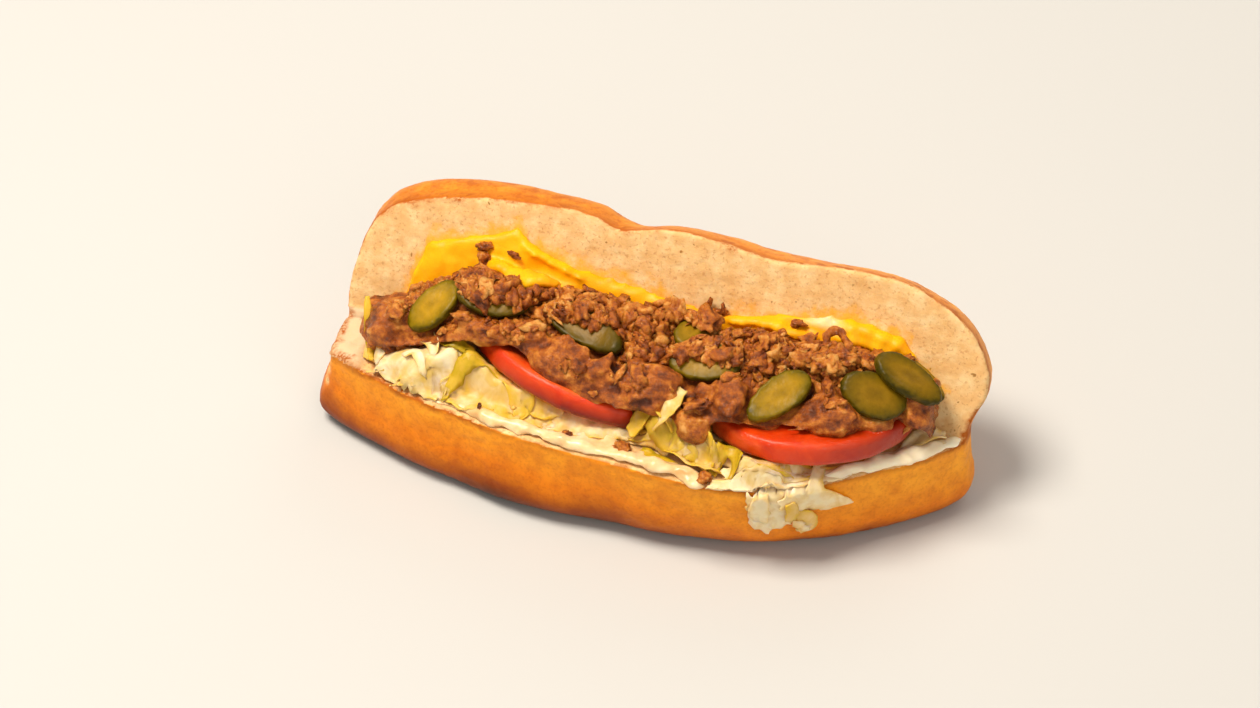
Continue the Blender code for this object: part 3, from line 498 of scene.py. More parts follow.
# Each leaf: its spots, its widths along them in mm, how green it is, and its seed.
broad_leaves = [
    drape(((-59, -8.5, 0.5), (-50, -7.5, 1.0), (-42, -8, 1.1), (-34, -9.5, 1.0), (-27, -10.5, 0.8),
           (-21, -10.5, 0.3)), (6, 13, 14, 12, 8, 3), 0.30, 1.3, wave=1.2, edges=(0.0, 0.7)),
    drape(((-41, -4.5, 1.6), (-37, -7.2, 2.2), (-34.6, -10, 2.0), (-35.5, -13, 0.9)), (3, 6, 7, 3), 0.42,
          4.1, wave=0.8, edges=(0.8, 0.8)),
    drape(((-35, -7, 1.6), (-29.5, -8.8, 1.8), (-23, -9.8, 0.9)), (4, 7, 3), 0.36, 5.6, wave=0.9,
          edges=(0.8, 0.2)),
    drape(((-50, -12.5, 0.6), (-43, -14, 1.0), (-35, -14.5, 0.9), (-28, -14, 0.4)), (3, 5, 5, 2.5), 0.30,
          6.4, wave=0.8),
    drape(((-83, -2.5, 0.3), (-75, -3.2, 0.8), (-68, -4.5, 0.9), (-60, -5, 0.9), (-54, -6.5, 0.3)),
          (5, 10, 13, 13, 6), 0.16, 6.9, wave=0.35),
    drape(((-70, 0.5, 1.0), (-64, -1.8, 1.6), (-60.8, -5, 1.4), (-61.5, -9.6, 0.5)), (4, 9, 9, 4), 0.12,
          7.7, wave=0.4),
    drape(((-82.5, -2.5, 1.0), (-80.6, 2.2, 2.8), (-76.5, 4.8, 4.2), (-71, 4.6, 4.4), (-66.5, 1.4, 3.4),
           (-64.6, -2.6, 1.6)), (2.4, 4.0, 5.0, 5.0, 4.0, 2.4), 0.08, 9.2, wave=0.35, edges=(0.0, 1.5)),
    drape(((-73.6, -3.6, 1.6), (-70.5, -2.8, 2.2), (-68, -4.8, 2.0), (-66.2, -8.0, 1.2)),
          (2.0, 3.0, 3.0, 1.8), 0.06, 12.9, wave=0.2, edges=(1.2, 0.0)),
    drape(((-30, -12, 0.4), (-22, -11.4, 1.0), (-13, -11.5, 1.0), (-5, -11, 0.7), (0, -12, 0.2)),
          (4, 8, 8, 6, 3), 0.18, 15.0, wave=1.0),
    drape(((-28, -14.6, 0.3), (-18, -14.6, 0.7), (-8, -14.6, 0.4)), (3, 5.5, 3), 0.10, 17.0, wave=0.8),
]
blades = [
    drape(((-58.8, -10.8, 0.7), (-57.7, -7.8, 1.4), (-56.3, -5.4, 1.9), (-54.0, -3.2, 2.2),
           (-51.5, -1.5, 2.1), (-48.5, -0.8, 1.8), (-45, -2.2, 1.2), (-42.5, -4.5, 0.6)),
          (1.6, 3.2, 4.2, 4.8, 4.8, 4.2, 3.0, 1.4), 0.64, 21.0, wave=0.35, edges=(0.9, 0.0)),
    drape(((-69, 6.5, 1.6), (-64, 5.5, 2.6), (-58.5, 3.0, 2.8), (-54, 0.8, 1.6)), (4, 7, 8, 4), 0.80, 24.0,
          wave=0.5),
    ribbon(((-89.6, 11.5, 45.0), (-88.4, 8, 42.2), (-87.2, 4.6, 38.6), (-86.0, 1.2, 34.8),
            (-84.6, -1.8, 32.6)), (1.4, 2.6, 2.8, 2.4, 1.2), 0.60, 27.0, wave=0.3, grain=0.7),
    drape(((-0.5, -3, 1.0), (4.5, -7.5, 2.0), (9.5, -11.6, 2.2), (16, -14, 2.0), (22, -16.2, 1.6),
           (25, -19, 0.6)), (4, 7, 8, 8, 6, 3), 0.44, 33.0, wave=2.0, edges=(0.8, 1.8)),
    drape(((2.5, -4, 1.4), (6, -6.5, 2.6), (9.5, -10.5, 3.0), (13, -12.8, 2.4)), (3, 5, 5, 3), 0.34, 34.6,
          wave=1.6, edges=(1.4, 0.6)),
    drape(((12, -15.2, 1.4), (18, -16.6, 2.2), (24, -17.8, 2.0), (28, -18.4, 0.8)), (3, 6, 6, 3), 0.30,
          36.0, wave=1.8, edges=(1.4, 0.6)),
    drape(((26.5, -19.8, 0.5), (27.6, -16.2, 1.8), (30.4, -14.6, 2.4), (33, -17, 2.0), (32.2, -21.2, 0.6)),
          (2, 3.0, 3.4, 3.0, 2), 0.62, 39.0, wave=0.4, edges=(0.0, 1.2)),
    drape(((3, -15.5, 0.3), (9, -18, 0.6), (16, -19.5, 0.4)), (2.5, 4, 2.5), 0.70, 41.0, wave=0.6),
    ribbon(((6.6, -13.4, 38.6), (8.8, -13.0, 43.8), (11.2, -10.2, 47.4), (13.0, -4.4, 48.4)),
           (2.4, 4.2, 4.8, 3.4), 0.30, 43.0, wave=0.3, edges=(0.6, 0.0), grain=0.6),
    drape(((22.5, 2, 1.0), (21.5, -4, 1.6), (20, -9, 1.0)), (2, 3, 2), 0.50, 44.0, wave=0.4),
    ribbon(((-0.5, -13.5, 34.5), (0.8, -11.5, 37.0), (2.2, -9.0, 39.5), (4.2, -6.0, 41.5)),
           (3.0, 5.0, 5.0, 3.0), 0.46, 45.5, wave=0.8, edges=(0.8, 0.5), grain=0.7),
]
long_shreds = [
    drape(((26.5, -24.4, 0.3), (36, -23.6, 0.7), (45, -20.8, 0.9), (54, -15.6, 0.8), (62, -9.6, 0.5),
           (66, -6.5, 0.2)), (3.4, 5.2, 6, 5, 3.6, 1.6), 0.06, 46.0, wave=0.25, past_rim=1.8,
          edges=(0.0, 0.8)),
    drape(((30, -19.4, 0.6), (40.9, -18.4, 1.2), (51.4, -14.2, 1.2), (62, -7.8, 0.4)), (3, 4.4, 4.4, 2),
          0.16, 49.0, wave=0.5, edges=(0.0, 0.8)),
    drape(((34.7, -17, 0.8), (43.4, -16.6, 1.4), (51.3, -13.2, 1.2), (59.3, -9, 0.4)), (3, 4, 4, 2), 0.40,
          52.0, wave=0.8),
    drape(((37, -15, 0.3), (45, -14, 0.7), (54, -11, 0.4)), (3, 4, 3), 0.62, 54.0, wave=0.6),
    drape(((79, 6, 0.6), (82, 10.5, 1.4), (85.5, 13.6, 1.6), (89, 15, 0.8)), (3, 5, 5, 3), 0.06, 56.0,
          wave=0.9, edges=(0.8, 0.8)),
    drape(((83, 7.5, 0.6), (86.5, 10.5, 1.0), (90.5, 13.5, 0.5)), (2.5, 3.5, 2), 0.02, 58.0, wave=0.6),
]
draw = random.Random(5)
slips = []
bank_tree = tree_of(bank_mesh)
for tries in range(90):
    x, y = draw.uniform(-46, 72), draw.uniform(-22, 3)
    if under(bank_tree, x * 0.001, y * 0.001)[0] is None or len(slips) > 32:
        continue
    angle, length, wide = draw.gauss(-0.15, 0.7), draw.uniform(6, 15), draw.uniform(1.6, 3.2)
    ends = [(x + s * length * math.cos(angle),
             y + s * length * math.sin(angle) + 0.10 * length * math.sin(3 * s + tries),
             draw.uniform(0.0, 0.6)) for s in (-0.5, -0.17, 0.17, 0.5)]
    slips.append(drape(ends, (wide * 0.6, wide, wide, wide * 0.5), draw.choice((0.08, 0.2, 0.34, 0.5, 0.72)),
                       60 + tries * 0.9, wave=0.5, grain=1.1))
for name, parts in (("lettuce_leaves", broad_leaves), ("lettuce_blades", blades),
                    ("lettuce_shreds", long_shreds), ("lettuce_slips", slips)):
    piece = joined(name, parts, lettuce_finish, "green")
    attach(piece, "root")

# The tuft that hangs over the front crust: ragged pale pieces of the same lettuce, fallen from the bed and
# stuck to the crust with mayonnaise.
front_tree = tree_of(bread_mesh)


def hang(spots, *rest, **more):
    """A leaf hung on the front crust along spots of (x, z, lift)."""
    def lay(centre, middle, out, fold):
        x, z = (middle + out) * 0.001
        hit, normal = front_tree.ray_cast(Vector((x, -0.1, z)), Vector((0, 1, 0)))[:2]
        if hit is None:
            hit, normal = Vector((x, -0.022, z)), Vector((0, -0.5, 0.8))
        return hit + normal * (0.7 + centre[2] + max(fold, 0.0)) * 0.001
    return leaf(spots, *rest, lay=lay, grain=0.8, thickness=0.5, **more)


tuft = [
    hang(((44.0, 30.6, 0.2), (44.4, 27.0, 0.3), (44.8, 22.5, 0.3), (45.4, 18.0, 0.2), (46.2, 15.2, 0.2)),
         (12.5, 13.5, 13.5, 12.0, 8.0), 0.02, 3.1, wave=0.7),
    hang(((42.0, 29.5, 1.0), (41.4, 25.0, 1.2), (42.0, 19.5, 0.9)), (4, 6, 4), 0.0, 5.3, wave=0.5),
    hang(((48.0, 28.6, 1.2), (54.0, 26.8, 1.0), (60.0, 24.2, 0.6), (66.0, 21.2, 0.2)), (7.0, 8.5, 6.5, 0.8),
         0.02, 7.9, wave=0.6),
    hang(((50.5, 22.0, 1.0), (54.4, 20.6, 1.8), (55.2, 16.5, 2.0), (52.6, 13.6, 1.0)), (2.5, 3.6, 3.6, 2.4),
         0.26, 11.4, wave=0.5),
    hang(((50.6, 18.5, 1.6), (53.4, 17.4, 2.4), (54.0, 14.6, 1.6)), (2.0, 3.0, 2.0), 0.10, 12.2, wave=0.5),
    hang(((49.5, 27.0, 2.0), (50.2, 23.5, 2.2), (49.5, 19.0, 1.2)), (3.0, 3.8, 2.2), 0.36, 13.4, wave=0.5),
]
spill = joined("lettuce_tuft", tuft, lettuce_finish, "green")
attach(spill, "root")
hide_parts("lettuce_spill")

# Mayonnaise, squeezed along the front rim and smeared by the filling: oil beaten into egg, thick, creamy
# white and softly glossy, yellower where it is thin, and the right streak painted paler all over as
# painted light. It sticks to the leaves and the cut face.
sauce_finish, tree, shader, place = finish_named("mayonnaise", {
    "Roughness": 0.3, "Subsurface Weight": 0.3, "Subsurface Radius": (1.0, 0.7, 0.35),
    "Subsurface Scale": 0.002})
tint = add(tree, "TexNoise", {"Scale": 1000 / 6, "Detail": 3.0}, {"Vector": place})
sauce_colour = add(tree, "ValToRGB", {"stops": [
    (0.3, "#D4A468"), (0.48, "#EAC48E"), (0.70, "#F8DEB6")]}, {0: tint})
# The "thick" number whitens the sauce: at random for its uneven tone, and over the whole right streak as
# painted light.
thick = add(tree, "Attribute", {"attribute_name": "thick"}).outputs["Fac"]
sauce_colour = add(tree, "MixRGB", {2: "#FFF2D8"}, {0: thick, 1: sauce_colour})
tree.links.new(sauce_colour.outputs[0], shader.inputs["Base Color"])


def dollops(bm, spots, flat, seed):
    """Adds overlapping rounded lumps to a bmesh along spots of (x, y, z, radius), in mm."""
    draw = random.Random(seed)
    for a, b in zip(spots, spots[1:]):
        a, b = np.array(a, float), np.array(b, float)
        steps = max(1, int(np.linalg.norm(b[:3] - a[:3]) / (0.65 * min(a[3], b[3]))))
        for k in range(steps):
            x, y, z, radius = (a + (b - a) * k / steps) * 0.001
            radius *= draw.uniform(0.7, 1.3)
            x, y = x + 0.35 * radius * draw.uniform(-1, 1), y + 0.35 * radius * draw.uniform(-1, 1)
            where = Matrix.Translation((x, y, z)) @ Matrix.Diagonal((radius, radius, radius * flat, 1.0))
            bmesh.ops.create_icosphere(bm, subdivisions=2, radius=1.0, matrix=where)


def laid(spots):
    """Spots of (x, y, radius) with their height put in: between the bed's below them and the cut face's."""
    found = [(x, y, under(bed_tree, x * 0.001, y * 0.001)[0].z * 1000, r) for x, y, r in spots]
    return [(x, y, 0.35 * z + 0.65 * min(z, 28.0 + 0.07 * (18.0 - y)) + r * 0.35, r) for x, y, z, r in found]


# Each streak is runs of dollops at (x, y, radius), in mm, over the solid's own bead.
for node, runs in (
        ("mayonnaise_left", (
            ((-65.8, -10.9, 0.7), (-60.4, -11.2, 1.0), (-53.8, -12.6, 1.1), (-47, -14.6, 1.3),
             (-40, -16.8, 1.6)),
            ((-38, -16.0, 1.2), (-34, -17.0, 1.5), (-30, -17.8, 1.4)),
            ((-24, -15.2, 1.2), (-16, -14.2, 1.7), (-8, -14.4, 1.9), (0, -15.6, 1.8), (5, -17.0, 1.3)),
            ((-16, -16.5, 1.6), (-8, -17.5, 1.9), (0, -18.6, 1.9)),
            ((12.3, -18.5, 1.3), (18, -20.5, 1.5), (23.5, -21.0, 1.2)),
            ((17, -23.0, 1.9), (22, -24.4, 2.1), (25.2, -24.8, 1.5)))),
        ("mayonnaise_right", (
            ((56.5, -12.4, 0.9), (61.3, -9.2, 1.5), (68, -4.8, 2.1), (75, -0.3, 2.4), (80, 3.5, 2.4),
             (86, 8.4, 2.2), (91, 12.9, 1.7), (94.5, 16.2, 1.0)),
            ((68, -1.5, 1.4), (76, 4.0, 1.9), (82, 8.4, 1.8), (88, 13.0, 1.4))))):
    bead = merged_copy(node)
    for index, run in enumerate(runs):
        dollops(bead, laid(run), 0.7, index)
    bead = evened(bead, 0.0006, 10)
    for v in bead.verts:
        v.co += v.normal * 0.001 * (0.9 * ripple(v.co, 6.0, 2, 4.0) + 0.32 * ripple(v.co, 2.2, 1, 7.0) - 0.15)
    relax(bead, bead.verts, 2)
    # Painted light: the right streak is made paler all over, where the tomato and meat keep the key light off
    # it; the ripple is the sauce's own uneven tone.
    body = 0.8 if node == "mayonnaise_right" else 0.0
    thickness = [body + 0.3 * ripple(v.co, 8, 1, 2.0) for v in bead.verts]
    streak = shown(node + "_streak", to_mesh(bead, node, {"thick": thickness}), sauce_finish)
    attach(streak, "root")
    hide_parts(node)

# Two slices of ripe tomato, cut across and laid on the lettuce, half under the meat: red-orange skin round
# the edge and wet, paler flesh on the cut faces. The beads of juice are drawn 0.9 mm across, coarser than
# the real film, so that they glint.
tomato_finish, tree, shader, place = finish_named("ripe_tomato", {
    "Roughness": 0.34, "Specular IOR Level": 0.22, "Coat Weight": 0.38, "Coat Roughness": 0.16,
    "Subsurface Weight": 0.12, "Subsurface Radius": (1.0, 0.25, 0.08), "Subsurface Scale": 0.003})
flesh = add(tree, "TexNoise", {"Scale": 1000 / 7, "Detail": 3.0, "Distortion": 0.8}, {"Vector": place})
cut_side = add(tree, "Attribute", {"attribute_name": "cut"}).outputs["Fac"]
flesh_colour = add(tree, "ValToRGB", {"stops": [
    (0.25, "#D8400F"), (0.55, "#E85A20"), (0.85, "#F08048")]}, {0: flesh})
skin_colour = add(tree, "ValToRGB", {"stops": [
    (0.25, "#C02602"), (0.75, "#E0460A")]}, {0: flesh})
# Painted shade: the skin is mixed towards dark red by the "low" number.
low_side = add(tree, "Attribute", {"attribute_name": "low"}).outputs["Fac"]
skin_colour = add(tree, "MixRGB", {2: "#7C1400"}, {0: low_side, 1: skin_colour})
tomato_colour = add(tree, "MixRGB", {}, {0: cut_side, 1: skin_colour, 2: flesh_colour})
tree.links.new(tomato_colour.outputs[0], shader.inputs["Base Color"])
wet = add(tree, "TexNoise", {"Scale": 1000 / 1.1, "Detail": 2.0}, {"Vector": place})
wet_depth = add(tree, "MapRange", {"To Min": 0.10, "To Max": 0.4}, {"Value": cut_side})
tree.links.new(add(tree, "Bump", {"Distance": 0.0004}, {"Height": wet, "Strength": wet_depth}).outputs[0],
               shader.inputs["Normal"])
beads = add(tree, "TexNoise", {"Scale": 1000 / 0.9, "Detail": 2.0}, {"Vector": place})
tree.links.new(add(tree, "Bump", {"Distance": 0.0009, "Strength": 0.9}, {"Height": beads}).outputs[0],
               shader.inputs["Coat Normal"])
# Which way each slice's paler flesh faces: up from the cut face of the left one, and to the front and left
# on the right one, whose rim is its paler side. Away from that way the skin is painted darker as painted
# shade.
PALE_TOWARDS = {"tomato_left": Vector((0.21988364, 0.40223756, 0.88873851)),
                "tomato_right": Vector((-0.80318880, -0.57543683, 0.15414336))}
for node, facing in PALE_TOWARDS.items():
    slice_ = evened(merged_copy(node), 0.0006, 5)
    cuts, lows = [], []
    heights = [v.co.dot(facing) for v in slice_.verts]
    for v, h in zip(slice_.verts, heights):
        cuts.append(clipped((abs(v.normal.dot(facing)) - 0.72) / 0.2))
        # The skin darkens away from the pale way as painted shade; on the left slice it grows towards its right
        # end.
        low = min(0.85, max(0.0, (max(heights) - h) / (max(heights) - min(heights)) * 1.5 - 0.35))
        if node == "tomato_left":
            shaded = clipped((v.co.x + 0.060) / 0.032) + 0.3 * (v.co.x > -0.022)
        else:
            shaded = 0.7
        lows.append(min(1.0, low * shaded))
    for v in slice_.verts:
        v.co += v.normal * 0.001 * (0.3 * ripple(v.co, 9, 2, 4.0))
    piece = shown(node + "_slice", to_mesh(slice_, node, {"cut": cuts, "low": lows}), tomato_finish)
    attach(piece, "root")
    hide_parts(node)

# Pickle slices: cucumber in brine, cut on the slant and strewn over the meat: wet olive flesh, some of it
# brown, inside a dark green bumpy skin. The film of brine is drawn with ripples of 1.6 mm, coarser than
# the real ones, so that it shows.
pickle_finish, tree, shader, place = finish_named("pickled_cucumber", {
    "Roughness": 0.36, "Specular IOR Level": 0.14, "Subsurface Weight": 0.15,
    "Subsurface Radius": (0.9, 0.8, 0.1), "Subsurface Scale": 0.002})
out = add(tree, "Attribute", {"attribute_name": "out"}).outputs["Fac"]
ripe = add(tree, "Attribute", {"attribute_name": "ripe"}).outputs["Fac"]
mark = add(tree, "TexNoise", {"Scale": 1000 / 3.5, "Detail": 4.0}, {"Vector": place})
ray = add(tree, "Math", {"operation": "MULTIPLY_ADD", 1: 0.60, 2: -0.30}, {0: mark})
out = add(tree, "Math", {"operation": "ADD"}, {0: out, 1: ray})
pale_flesh = add(tree, "ValToRGB", {"stops": [
    (0.0, "#98760A"), (0.35, "#B08818"), (0.66, "#98780A"), (0.88, "#7C6606"),
    (1.0, "#544804")]}, {0: out})
deep_flesh = add(tree, "ValToRGB", {"stops": [
    (0.0, "#62480A"), (0.40, "#745608"), (0.80, "#544204"), (1.0, "#363004")]},
    {0: out})
pickle_colour = add(tree, "MixRGB", {}, {0: ripe, 1: deep_flesh, 2: pale_flesh})
streak = add(tree, "TexNoise", {"Scale": 1000 / 2.2, "Detail": 4.0, "Roughness": 0.7}, {"Vector": place})
streak = add(tree, "ValToRGB", {"stops": [(0.34, "#8C7C50"), (0.5, "#E8E0C8"), (0.64, "#FFFFFF")]},
             {0: streak})
pickle_colour = add(tree, "MixRGB", {"blend_type": "MULTIPLY", 0: 0.22}, {1: pickle_colour, 2: streak})
tree.links.new(pickle_colour.outputs[0], shader.inputs["Base Color"])
brine = add(tree, "TexNoise", {"Scale": 1000 / 1.6, "Detail": 3.0}, {"Vector": place})
tree.links.new(add(tree, "Bump", {"Distance": 0.0004, "Strength": 0.4}, {"Height": brine}).outputs[0],
               shader.inputs["Normal"])
# How pale each slice is, and for what lies on them: each one's mesh, search tree, middle and upper face.
RIPENESS = (1.0, 0.25, 0.15, 0.6, 0.6, 0.8, 0.25, 0.2, 0.9)
pickle_slices = []
for index, ripeness in enumerate(RIPENESS):
    node = f"pickle_{index + 1}"
    slice_ = evened(merged_copy(node), 0.0004, 6)
    corners = np.array([v.co[:] for v in slice_.verts])
    middle = corners.mean(axis=0)
    axes = np.linalg.eigh(np.cov((corners - middle).T))[1]
    local = (corners - middle) @ axes
    reach = np.abs(local).max(axis=0)
    radial = np.sqrt((local[:, 2] / reach[2]) ** 2 + (local[:, 1] / reach[1]) ** 2)
    for v, r, at in zip(slice_.verts, radial, local):
        bumps = 0.35 * ripple(v.co, 2.6, 2, 3.0) * clipped((r - 0.8) / 0.15)
        sag = Vector(axes[:, 0]) * 0.0006 * ripple(Vector((at[2], at[1], index * 0.05)), 11, 1, 4.0)
        v.co += v.normal * 0.001 * (bumps + 0.12 * ripple(v.co, 6, 1, 2.0)) + sag
    mesh = to_mesh(slice_, node, {"out": radial.tolist(), "ripe": [ripeness] * len(radial)})
    facing = Vector(axes[:, 0].tolist()) * (1 if axes[2, 0] > 0 else -1)
    pickle_slices.append((mesh, tree_of(mesh), Vector(middle.tolist()), facing))
    piece = shown(node + "_slice", mesh, pickle_finish)
    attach(piece, "root")
    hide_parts(node)

# Melted cheese: a processed yellow slice that clings to the flap and sags in thick soft folds over the
# meat, with smears and drips where it was dragged along. Smooth, satin and lit through at its thin edge.
cheese_finish, tree, shader, place = finish_named("melted_cheese", {
    "Roughness": 0.42, "Specular IOR Level": 0.22, "Subsurface Weight": 0.35,
    "Subsurface Radius": (1.0, 0.7, 0.04), "Subsurface Scale": 0.002})
shade = add(tree, "TexNoise", {"Scale": 1000 / 9, "Detail": 3.0}, {"Vector": place})
cheese_colour = add(tree, "ValToRGB", {"stops": [
    (0.3, "#EC9C02"), (0.52, "#F6AE08"), (0.75, "#FCBE14")]}, {0: shade})
milky = add(tree, "Attribute", {"attribute_name": "milky"}).outputs["Fac"]
cheese_colour = add(tree, "MixRGB", {2: "#ECCE98"}, {0: milky, 1: cheese_colour})
tree.links.new(cheese_colour.outputs[0], shader.inputs["Base Color"])

# The upper edge of the cheese on the flap: x, and the height up the flap from the fold, in mm.
CHEESE_RIM = ((-80.6, 13.0), (-80.1, 19.4), (-77.5, 23.2), (-77.0, 27.1), (-75.4, 29.4), (-69.5, 30.5),
              (-63.4, 32.3), (-57.3, 34.1), (-52.2, 36.7), (-48.3, 37.7), (-46.5, 36.2), (-45.0, 33.2),
              (-41.3, 32.4), (-38.0, 30.8), (-33.2, 30.1), (-30.1, 28.6), (-22.0, 28.1), (-15.6, 27.5),
              (-6.1, 26.4), (0.4, 24.5), (5.1, 21.0), (10.4, 20.5), (19.1, 23.4), (25.5, 22.8),
              (32.9, 24.5), (40.6, 25.4), (44.0, 28.0), (49.7, 28.8), (57.2, 28.4), (64.8, 27.4),
              (71.2, 25.5), (75.0, 22.8), (76.2, 19.0), (84.0, 12.5))
rim_across, rim_up = zip(*CHEESE_RIM)


def on_flap(x, up, lift=0.0):
    """The place at x along the flap, up it from the fold and lifted off it, in mm."""
    return FOLD + Vector((x * 0.001, 0, 0)) + (UP_FLAP * up + FLAP_FACING * lift) * 0.001


stained = []
for v in bread_mesh.vertices:
    up = (v.co - FOLD).dot(UP_FLAP) * 1000
    top = float(np.interp(v.co.x * 1000, rim_across, rim_up))
    beside = max(0.0, rim_across[0] - v.co.x * 1000, v.co.x * 1000 - rim_across[-1])
    on_face = abs((v.co - FOLD).dot(FLAP_FACING)) < 0.0015
    stained.append(min(12.0, max(0.0, up - top, beside)) if on_face and v.co.z > 0.032 and up > 3 else 12.0)
bread_mesh.attributes.new("cheese", "FLOAT", "POINT").data.foreach_set("value", stained)
cheese = merged_copy("cheese")
# The slice on the flap, in mm: the middle and half of its length, and how far up the flap it starts.
SHEET_MIDDLE, SHEET_HALF, SHEET_FOOT = 1.7, 82.3, 9.0
sheet = bmesh.new()
bmesh.ops.create_grid(sheet, x_segments=230, y_segments=30, size=1.0)
for v in sheet.verts:
    x, share = SHEET_MIDDLE + v.co.x * SHEET_HALF, (v.co.y + 1) / 2
    top = float(np.interp(x, rim_across, rim_up)) + 1.5 * noise.noise(Vector((x / 3.4, 0, 4))) + 0.2
    top += 0.9 * noise.noise(Vector((x / 1.3, 3, 1)))
    up = SHEET_FOOT + (top - SHEET_FOOT) * share
    edge = min(1.0, min(top - up, (x + 81.2) * 1.2, (84.4 - x) * 0.6) / 3.0)
    spot = on_flap(x, up)
    thick = (-0.1 + 1.2 * max(0.0, edge) ** 0.7 + 0.55 * ripple(spot, 6, 2, 9.0)
             + 0.30 * ripple(spot, 2.4, 1, 2.0))
    v.co = on_flap(x, up, thick)
sheet = thickened(sheet, [0.0] * len(sheet.verts), 0.0016)[0]
sheet_mesh = to_mesh(sheet, "sheet")
cheese.from_mesh(sheet_mesh)
bpy.data.meshes.remove(sheet_mesh)
meat_top = tree_of(*[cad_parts[n].data for n in ("meat", "cheese", "roll")])


def on_meat(spots):
    """Spots of (x, y, radius) with their height put in, on the heap or what shows above it."""
    return [(x, y, under(meat_top, x * 0.001, y * 0.001)[0].z * 1000 + 0.55 * r, r) for x, y, r in spots]


# Folds, smears and drips: how flat, and spots of (x, y, z, radius), in mm.
for index, (flat, run) in enumerate((
        (0.7, on_meat(((-57, 27.0, 1.2), (-52, 25.6, 2.0), (-47, 23.8, 2.3), (-42, 23.0, 2.4), (-37, 22.8, 2.2),
                       (-32, 23.8, 1.5)))),
        (0.7, on_meat(((-55, 28.6, 1.6), (-50, 27.6, 2.2), (-45, 26.8, 2.4), (-40, 26.4, 2.4), (-35, 26.2, 2.2),
                       (-30, 26.8, 1.6)))),
        (0.7, on_meat(((-48, 21.6, 1.2), (-43, 20.8, 1.6), (-39, 20.4, 1.4)))),
        (0.6, ((-46, 32.0, 58.4, 1.2), (-41, 31.2, 56.6, 1.5), (-36, 30.6, 55.4, 1.5), (-31, 29.6, 53.6, 1.3),
               (-26, 28.8, 52.2, 1.2))),
        (0.7, ((-78.5, 25.4, 42.5, 1.2), (-78, 26.6, 46.0, 1.2))),
        (0.7, ((19, 26.8, 48.6, 1.2), (26.6, 27.6, 49.8, 2.0), (34.8, 26.4, 50.2, 2.2), (41.3, 25.8, 49.2, 2.1),
               (47.0, 26.4, 49.2, 1.6))),
        (0.8, ((51, 29.6, 51.6, 1.4), (57.0, 30.2, 52.4, 2.2), (62.5, 29.6, 52.2, 2.4), (68.4, 29.0, 50.8, 2.4),
               (74.0, 27.8, 48.6, 2.1), (76.0, 26.4, 45.6, 1.4))),
        (0.8, ((52.0, 27.4, 49.4, 1.4), (58.0, 27.6, 50.0, 2.0), (64.0, 27.0, 49.6, 2.0),
               (70.0, 26.4, 48.0, 1.6))),
        (0.8, ((80.5, 24.8, 42.0, 1.3), (84.0, 23.6, 39.6, 1.4), (86.0, 22.2, 36.8, 1.0))))):
    dollops(cheese, run, flat, 30 + index)
cheese = evened(cheese, 0.0007, 5)
cheese_tree = BVHTree.FromBMesh(cheese)
for v in cheese.verts:
    away = (v.co - FOLD).dot(FLAP_FACING)
    waves = 0.45 * ripple(v.co, 7, 2, 4.0) + 0.25 * ripple(v.co, 3, 1, 5.0)
    v.co += FLAP_FACING * 0.001 * waves * clipped(away / 0.001)
relax(cheese, cheese.verts, 1)
pale_part = []
for v in cheese.verts:
    x, up = v.co.x * 1000, (v.co - FOLD).dot(UP_FLAP) * 1000
    pale_part.append(clipped(1.5 - math.hypot((x - 48.3) / 5.2, (up - 27.4) / 1.9) + 0.4 * ripple(v.co, 4)))
melted = shown("cheese_melt", to_mesh(cheese, "cheese_melt", {"milky": pale_part}), cheese_finish)
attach(melted, "root")
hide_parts("cheese")

# Chopped meat: griddled beef cut fine, browned, moist with fat and sauce. Large soft lumps lie at the
# front, and loose crumbs and torn shreds cover the heap up to the cheese. Its fibres are drawn 1.2 mm
# apart and the beads of fat 0.9 mm across, coarser than the real ones, so that they show.
meat_finish, tree, shader, place = finish_named("griddled_chopped_beef", {
    "Specular IOR Level": 0.35, "Subsurface Weight": 0.10, "Subsurface Radius": (1.0, 0.35, 0.12),
    "Subsurface Scale": 0.0012, "Coat Weight": 0.20, "Coat Roughness": 0.12})
tone = add(tree, "Attribute", {"attribute_name": "tone"}).outputs["Fac"]
grain = add(tree, "TexNoise", {"Scale": 1000 / 2.2, "Detail": 6.0, "Roughness": 0.7}, {"Vector": place})
patchy = add(tree, "TexNoise", {"Scale": 1000 / 8, "Detail": 3.0}, {"Vector": place})
grain_part = add(tree, "Math", {"operation": "MULTIPLY_ADD", 1: 1.7, 2: -0.85}, {0: grain})
patch_part = add(tree, "Math", {"operation": "MULTIPLY_ADD", 1: 0.5, 2: -0.25}, {0: patchy})
mixed = add(tree, "Math", {"operation": "ADD"}, {0: grain_part, 1: tone})
mixed = add(tree, "Math", {"operation": "ADD"}, {0: mixed, 1: patch_part})
meat_colour = add(tree, "ValToRGB", {"stops": [
    (0.05, "#5A2404"), (0.30, "#863E08"), (0.52, "#AE5A10"), (0.76, "#CC7C26"),
    (1.0, "#E4A454")]}, {0: mixed})
tree.links.new(meat_colour.outputs[0], shader.inputs["Base Color"])
wetness = add(tree, "MapRange", {"From Min": 0.35, "From Max": 0.65, "To Min": 0.22, "To Max": 0.55},
              {"Value": patchy})
tree.links.new(wetness.outputs[0], shader.inputs["Roughness"])
glisten = add(tree, "TexNoise", {"Scale": 1000 / 0.9, "Detail": 3.0}, {"Vector": place})
tree.links.new(add(tree, "Bump", {"Distance": 0.0007, "Strength": 0.9}, {"Height": glisten}).outputs[0],
               shader.inputs["Coat Normal"])
along_fibres = add(tree, "Mapping", {"Rotation": (0.3, 0.5, -0.4), "Scale": (0.45, 1.0, 1.0)},
                   {"Vector": place})
